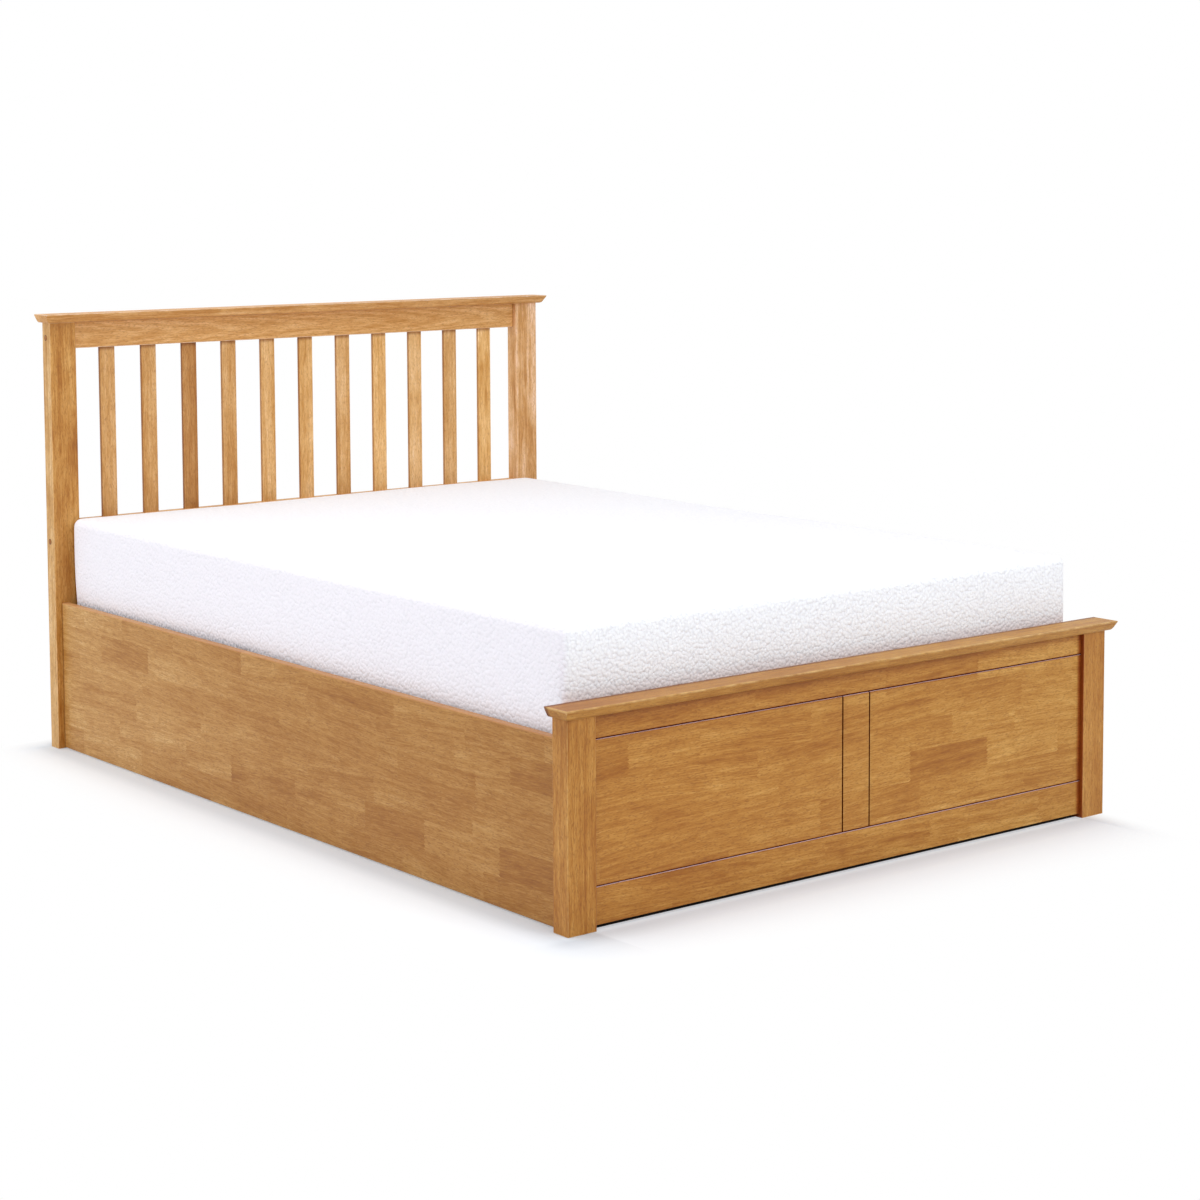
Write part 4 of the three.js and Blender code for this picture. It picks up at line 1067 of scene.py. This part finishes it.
def build_platform_hardware():
    """Rubber holders at the slat ends, bolts of the mattress stop and of the pull strap."""
    holders = bmesh.new()
    outer = HOLDER_WALL + HOLDER_GAP
    for node in bed_slats:
        low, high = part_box(node)
        end = high.x + HOLDER_GAP
        walls = [(end, end + HOLDER_WALL, low.y - outer, high.y + outer),
                 (end - HOLDER_REACH, end + HOLDER_OVERLAP, low.y - outer, low.y - HOLDER_GAP),
                 (end - HOLDER_REACH, end + HOLDER_OVERLAP, high.y + HOLDER_GAP, high.y + outer)]
        for side in (-1, 1):
            for near, far, front, back in walls:
                add_block(holders, (min(side * near, side * far), front, low.z - HOLDER_GAP),
                          (max(side * near, side * far), back, high.z - HOLDER_GAP))
    hardware("slat_holders", holders, "lift_platform", rubber, HOLDER_EDGE)
    bolts = bmesh.new()
    low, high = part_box("mattress_stop")
    for x in (STOP_BOLT_SHARE * low.x, 0.0, STOP_BOLT_SHARE * high.x):
        place = (x, low.y + STOP_BOLT_INSET, low.z + STOP_PLATE)
        add_turned(bolts, DOME_PROFILE, facing(place, (0, 0, 1)))
    low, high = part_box("pull_strap")
    add_bolt(bolts, (0.0, high.y - STRAP_THICKNESS, low.z + STRAP_BOLT_HEIGHT), (0, -1, 0))
    hardware("platform_bolts", bolts, "lift_platform")


BATTEN_SCREWS = 5
SIDE_BATTEN_MARGIN = 0.06
FOOT_BATTEN_MARGIN = 0.08


def spaced(low, high, margin):
    """Places of a batten's screws, evenly spaced between its ends."""
    length = high - low - 2 * margin
    return [low + margin + length * i / (BATTEN_SCREWS - 1) for i in range(BATTEN_SCREWS)]


def build_batten_screws():
    screws = bmesh.new()
    for word, side in SIDES:
        low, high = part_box(f"side_batten_{word}")
        x = low.x if side > 0 else high.x
        for y in spaced(low.y, high.y, SIDE_BATTEN_MARGIN):
            add_turned(screws, SCREW_PROFILE, facing((x, y, (low.z + high.z) / 2), (-side, 0, 0)))
    low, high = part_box("foot_batten")
    for x in spaced(low.x, high.x, FOOT_BATTEN_MARGIN):
        add_turned(screws, SCREW_PROFILE, facing((x, high.y, (low.z + high.z) / 2), (0, 1, 0)))
    hardware("batten_screws", screws, "bed_base")


build_plugs()
build_hinge_hardware()
build_platform_hardware()
build_batten_screws()


# Stage: floor, lights and camera


WHITE = (1.0, 1.0, 1.0, 1.0)
SKY_LIGHT = (0.97, 0.98, 1.0, 1.0)
SKY_STRENGTH = 0.62
HALF_X = max(-cad_low.x, cad_high.x)
HALF_Y = max(-cad_low.y, cad_high.y)
FLOOR_HALF = 40.0
FLOOR_DROP = 0.0004
FLOOR_FADE = (0.0, 0.33)
# the floor is bluer near the bed, to cancel the wood's warm reflected light
FLOOR_NEAR = (0.845, 0.900, 0.960)
FLOOR_FAR = (0.855, 0.872, 0.890)
# painted shade: the floor under the bed is near black
UNDER_BED_SHADE = (0.05, 0.05, 0.05)
# painted shadow close to the bed and round the corner of the left foot post
CLOSE_REACH = 0.06
CLOSE_SHADOW = (0.88, 0.88, 0.88)
CORNER_X = (-0.86, -0.72, -0.62, -0.44)
CORNER_REACH = (0.04, 0.22)
CORNER_SHADOW = (0.93, 0.93, 0.93)

# How fast the floor turns white beside the bed's left side, from the middle to the head end,
# beside its right side, in front of its foot and behind its head
LEFT_RATES = (1.4, 2.2)
RIGHT_RATE = 4.5
FOOT_RATE = 1.15
HEAD_RATE = 4.0

# The floor under the bed, near black as painted shade, and a painted glow that stands for the light
# reaching the floor along its edges
UNDER_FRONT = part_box("foot_panel")[0].y + 0.011
UNDER_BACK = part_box("head_panel")[1].y - 0.005
UNDER_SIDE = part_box("side_panel_right")[1].x - 0.012
OUTSIDE_GLOW = 0.10
OUTSIDE_GLOW_REACH = 0.16
SIDE_GLOW = 0.30
SIDE_GLOW_REACH = (0.007, 0.014)
FOOT_GLOW = (0.11, 0.35)
FOOT_GLOW_REACH = 0.030


def seen_rays(tree):
    """1 for the rays that show a surface itself: direct, mirrored or through glass."""
    path = add_node(tree, "LightPath")
    return math_node(tree, "MAXIMUM", path.outputs["Is Camera Ray"],
                     math_node(tree, "MAXIMUM", path.outputs["Is Glossy Ray"],
                               path.outputs["Is Transmission Ray"]))


def distance_from_bed(tree, place):
    """Distance from the bed's outline, counted faster where its shadow is short."""
    x, y, _ = axes(tree, place)
    on_right = map_range(tree, x, 0.0, 0.01)
    at_head = map_range(tree, y, 0.0, 0.01)
    edges = combine(tree, choose(tree, on_right, HALF_X, FOOT_POST_INNER), HALF_Y, 0.0)
    left_rate = map_range(tree, y, 0.3, HALF_Y, *LEFT_RATES)
    rates = combine(tree, choose(tree, on_right, left_rate, RIGHT_RATE),
                    choose(tree, at_head, FOOT_RATE, HEAD_RATE), 1.0)
    beyond = vector_node(tree, "SUBTRACT", vector_node(tree, "ABSOLUTE", place), edges)
    beyond = vector_node(tree, "MAXIMUM", beyond, (0.0, 0.0, 0.0))
    beyond = vector_node(tree, "MULTIPLY", beyond, rates)
    return add_node(tree, "VectorMath", beyond, operation="LENGTH").outputs["Value"]


def floor_look(tree, place, distance):
    """The floor's colour, near black under the bed as painted shade and darker near it as painted
    shadow, and the painted glow that lightens its shadow.
    """
    x, y, _ = axes(tree, place)
    half = (UNDER_SIDE, (UNDER_BACK - UNDER_FRONT) / 2, 0.0)
    past = vector_node(tree, "SUBTRACT", place, (0.0, (UNDER_FRONT + UNDER_BACK) / 2, 0.0))
    past = vector_node(tree, "SUBTRACT", vector_node(tree, "ABSOLUTE", past), half)
    past_side, past_end, _ = axes(tree, past)
    open_floor = map_range(tree, math_node(tree, "MAXIMUM", past_side, past_end), 0.0, 0.002)

    # glow: beside the panels, in front of the foot panel, and further out
    between_posts = fade_out(tree, absolute(tree, x), FOOT_POST_INNER, FOOT_POST_INNER + 0.01)
    foot_light = map_range(tree, y, UNDER_FRONT - FOOT_GLOW_REACH, UNDER_FRONT, *FOOT_GLOW)
    side_light = product(tree, map_range(tree, past_side, *SIDE_GLOW_REACH, SIDE_GLOW, 0.0),
                         fade_out(tree, past_end, -0.002, 0.0))
    gap_light = product(tree, choose(tree, between_posts, side_light, foot_light), open_floor)
    outside = product(tree, map_range(tree, distance, 0.0, OUTSIDE_GLOW_REACH), OUTSIDE_GLOW)

    # colour: darker close to the bed and round the corner of the left foot post as painted shadow,
    # and bluer near the bed to cancel the wood's warm reflected light
    colour = mix_colour(tree, map_range(tree, distance, 0.0, 0.2), FLOOR_NEAR, FLOOR_FAR)
    close = product(tree, fade_out(tree, distance, 0.0, CLOSE_REACH),
                    map_range(tree, y, -0.6, 0.6, 1.0, 0.5))
    colour = tint_colour(tree, close, colour, CLOSE_SHADOW)
    corner = product(tree, map_range(tree, x, *CORNER_X[:2]), fade_out(tree, x, *CORNER_X[2:]),
                     fade_out(tree, distance, *CORNER_REACH),
                     fade_out(tree, y, -HALF_Y, 0.02 - HALF_Y))
    colour = tint_colour(tree, corner, colour, CORNER_SHADOW)
    # painted shade: near black under the bed
    colour = mix_colour(tree, open_floor, UNDER_BED_SHADE, colour)
    return colour, math_node(tree, "MAXIMUM", outside, gap_light)


def floor_material():
    """Pale floor that keeps the bed's shadow and is plain white further out."""
    made, tree = new_material("studio_floor")
    place = coordinate(tree)
    distance = distance_from_bed(tree, place)
    colour, strength = floor_look(tree, place, distance)
    seen = seen_rays(tree)
    near = result(tree, "AddShader", result(tree, "BsdfDiffuse", colour),
                  result(tree, "Emission", WHITE, product(tree, seen, strength)))
    white = result(tree, "Emission", WHITE, 1.0)
    far = map_range(tree, distance, *FLOOR_FADE, interpolation="SMOOTHSTEP")
    add_node(tree, "OutputMaterial",
             result(tree, "MixShader", product(tree, far, seen), near, white))
    return made


def build_floor():
    builder = bmesh.new()
    bmesh.ops.create_grid(builder, x_segments=1, y_segments=1, size=FLOOR_HALF)
    floor = mesh_object("studio_floor", builder)
    floor.location = (0, 0, -FLOOR_DROP)
    floor.data.materials.append(floor_material())


def build_world():
    world = bpy.data.worlds.new("studio")
    bpy.context.scene.world = world
    world.use_nodes = True
    tree = world.node_tree
    tree.nodes.clear()
    lit = result(tree, "Background", SKY_LIGHT, SKY_STRENGTH)
    plain = result(tree, "Background", WHITE, 1.0)
    add_node(tree, "OutputWorld",
             result(tree, "MixShader", seen_rays(tree), lit, plain))


def area_light(name, place, target, size, power, colour=(1.0, 1.0, 1.0)):
    data = bpy.data.lights.new(name, "AREA")
    data.shape = "DISK"
    data.size = size
    data.energy = power
    data.color = colour
    lamp = new_object(name, data)
    lamp.location = place
    lamp.rotation_mode = "QUATERNION"
    lamp.rotation_quaternion = (Vector(target) - Vector(place)).to_track_quat("-Z", "Y")
    lamp.visible_camera = False


# The photo's camera, fitted to the bed's corners: photo pixels, degrees, and place in metres

PHOTO_SIZE = 1200.0
FOCAL_LENGTH = 2561.0
PRINCIPAL_POINT = (550.0, 400.0)
YAW, PITCH, ROLL = (math.radians(angle) for angle in (37.621, 4.855, -0.338))
CAMERA_PLACE = (-3.4628, -4.5117, 1.3398)
SENSOR_WIDTH = 36.0


def build_camera():
    data = bpy.data.cameras.new("photo_camera")
    camera = new_object("photo_camera", data)
    look = Vector((math.sin(YAW) * math.cos(PITCH), math.cos(YAW) * math.cos(PITCH),
                   -math.sin(PITCH)))
    right = Vector((math.cos(YAW), -math.sin(YAW), 0.0))
    up = right.cross(look)
    rolled_right = math.cos(ROLL) * right + math.sin(ROLL) * up
    rolled_up = math.cos(ROLL) * up - math.sin(ROLL) * right
    turn = Matrix((rolled_right, rolled_up, -look)).transposed()
    camera.matrix_world = Matrix.Translation(Vector(CAMERA_PLACE)) @ turn.to_4x4()
    data.sensor_width = SENSOR_WIDTH
    data.lens = SENSOR_WIDTH * FOCAL_LENGTH / PHOTO_SIZE
    data.shift_x = (PHOTO_SIZE / 2 - PRINCIPAL_POINT[0]) / PHOTO_SIZE
    data.shift_y = (PRINCIPAL_POINT[1] - PHOTO_SIZE / 2) / PHOTO_SIZE
    data.clip_start = 0.1
    data.clip_end = 200.0
    data.dof.use_dof = False
    bpy.context.scene.camera = camera


build_floor()
build_world()
area_light("key_above", (-1.1, -0.5, 4.2), (0.0, 0.0, 0.3), 3.6, 74.0)
area_light("fill_left", (-4.6, 1.2, 2.0), (-0.4, 0.2, 0.4), 3.0, 47.5)
area_light("fill_front", (0.4, -5.2, 2.4), (0.0, 0.0, 0.3), 3.0, 74.0, (0.965, 1.0, 1.075))
build_camera()

bpy.context.scene.view_settings.view_transform = "Standard"
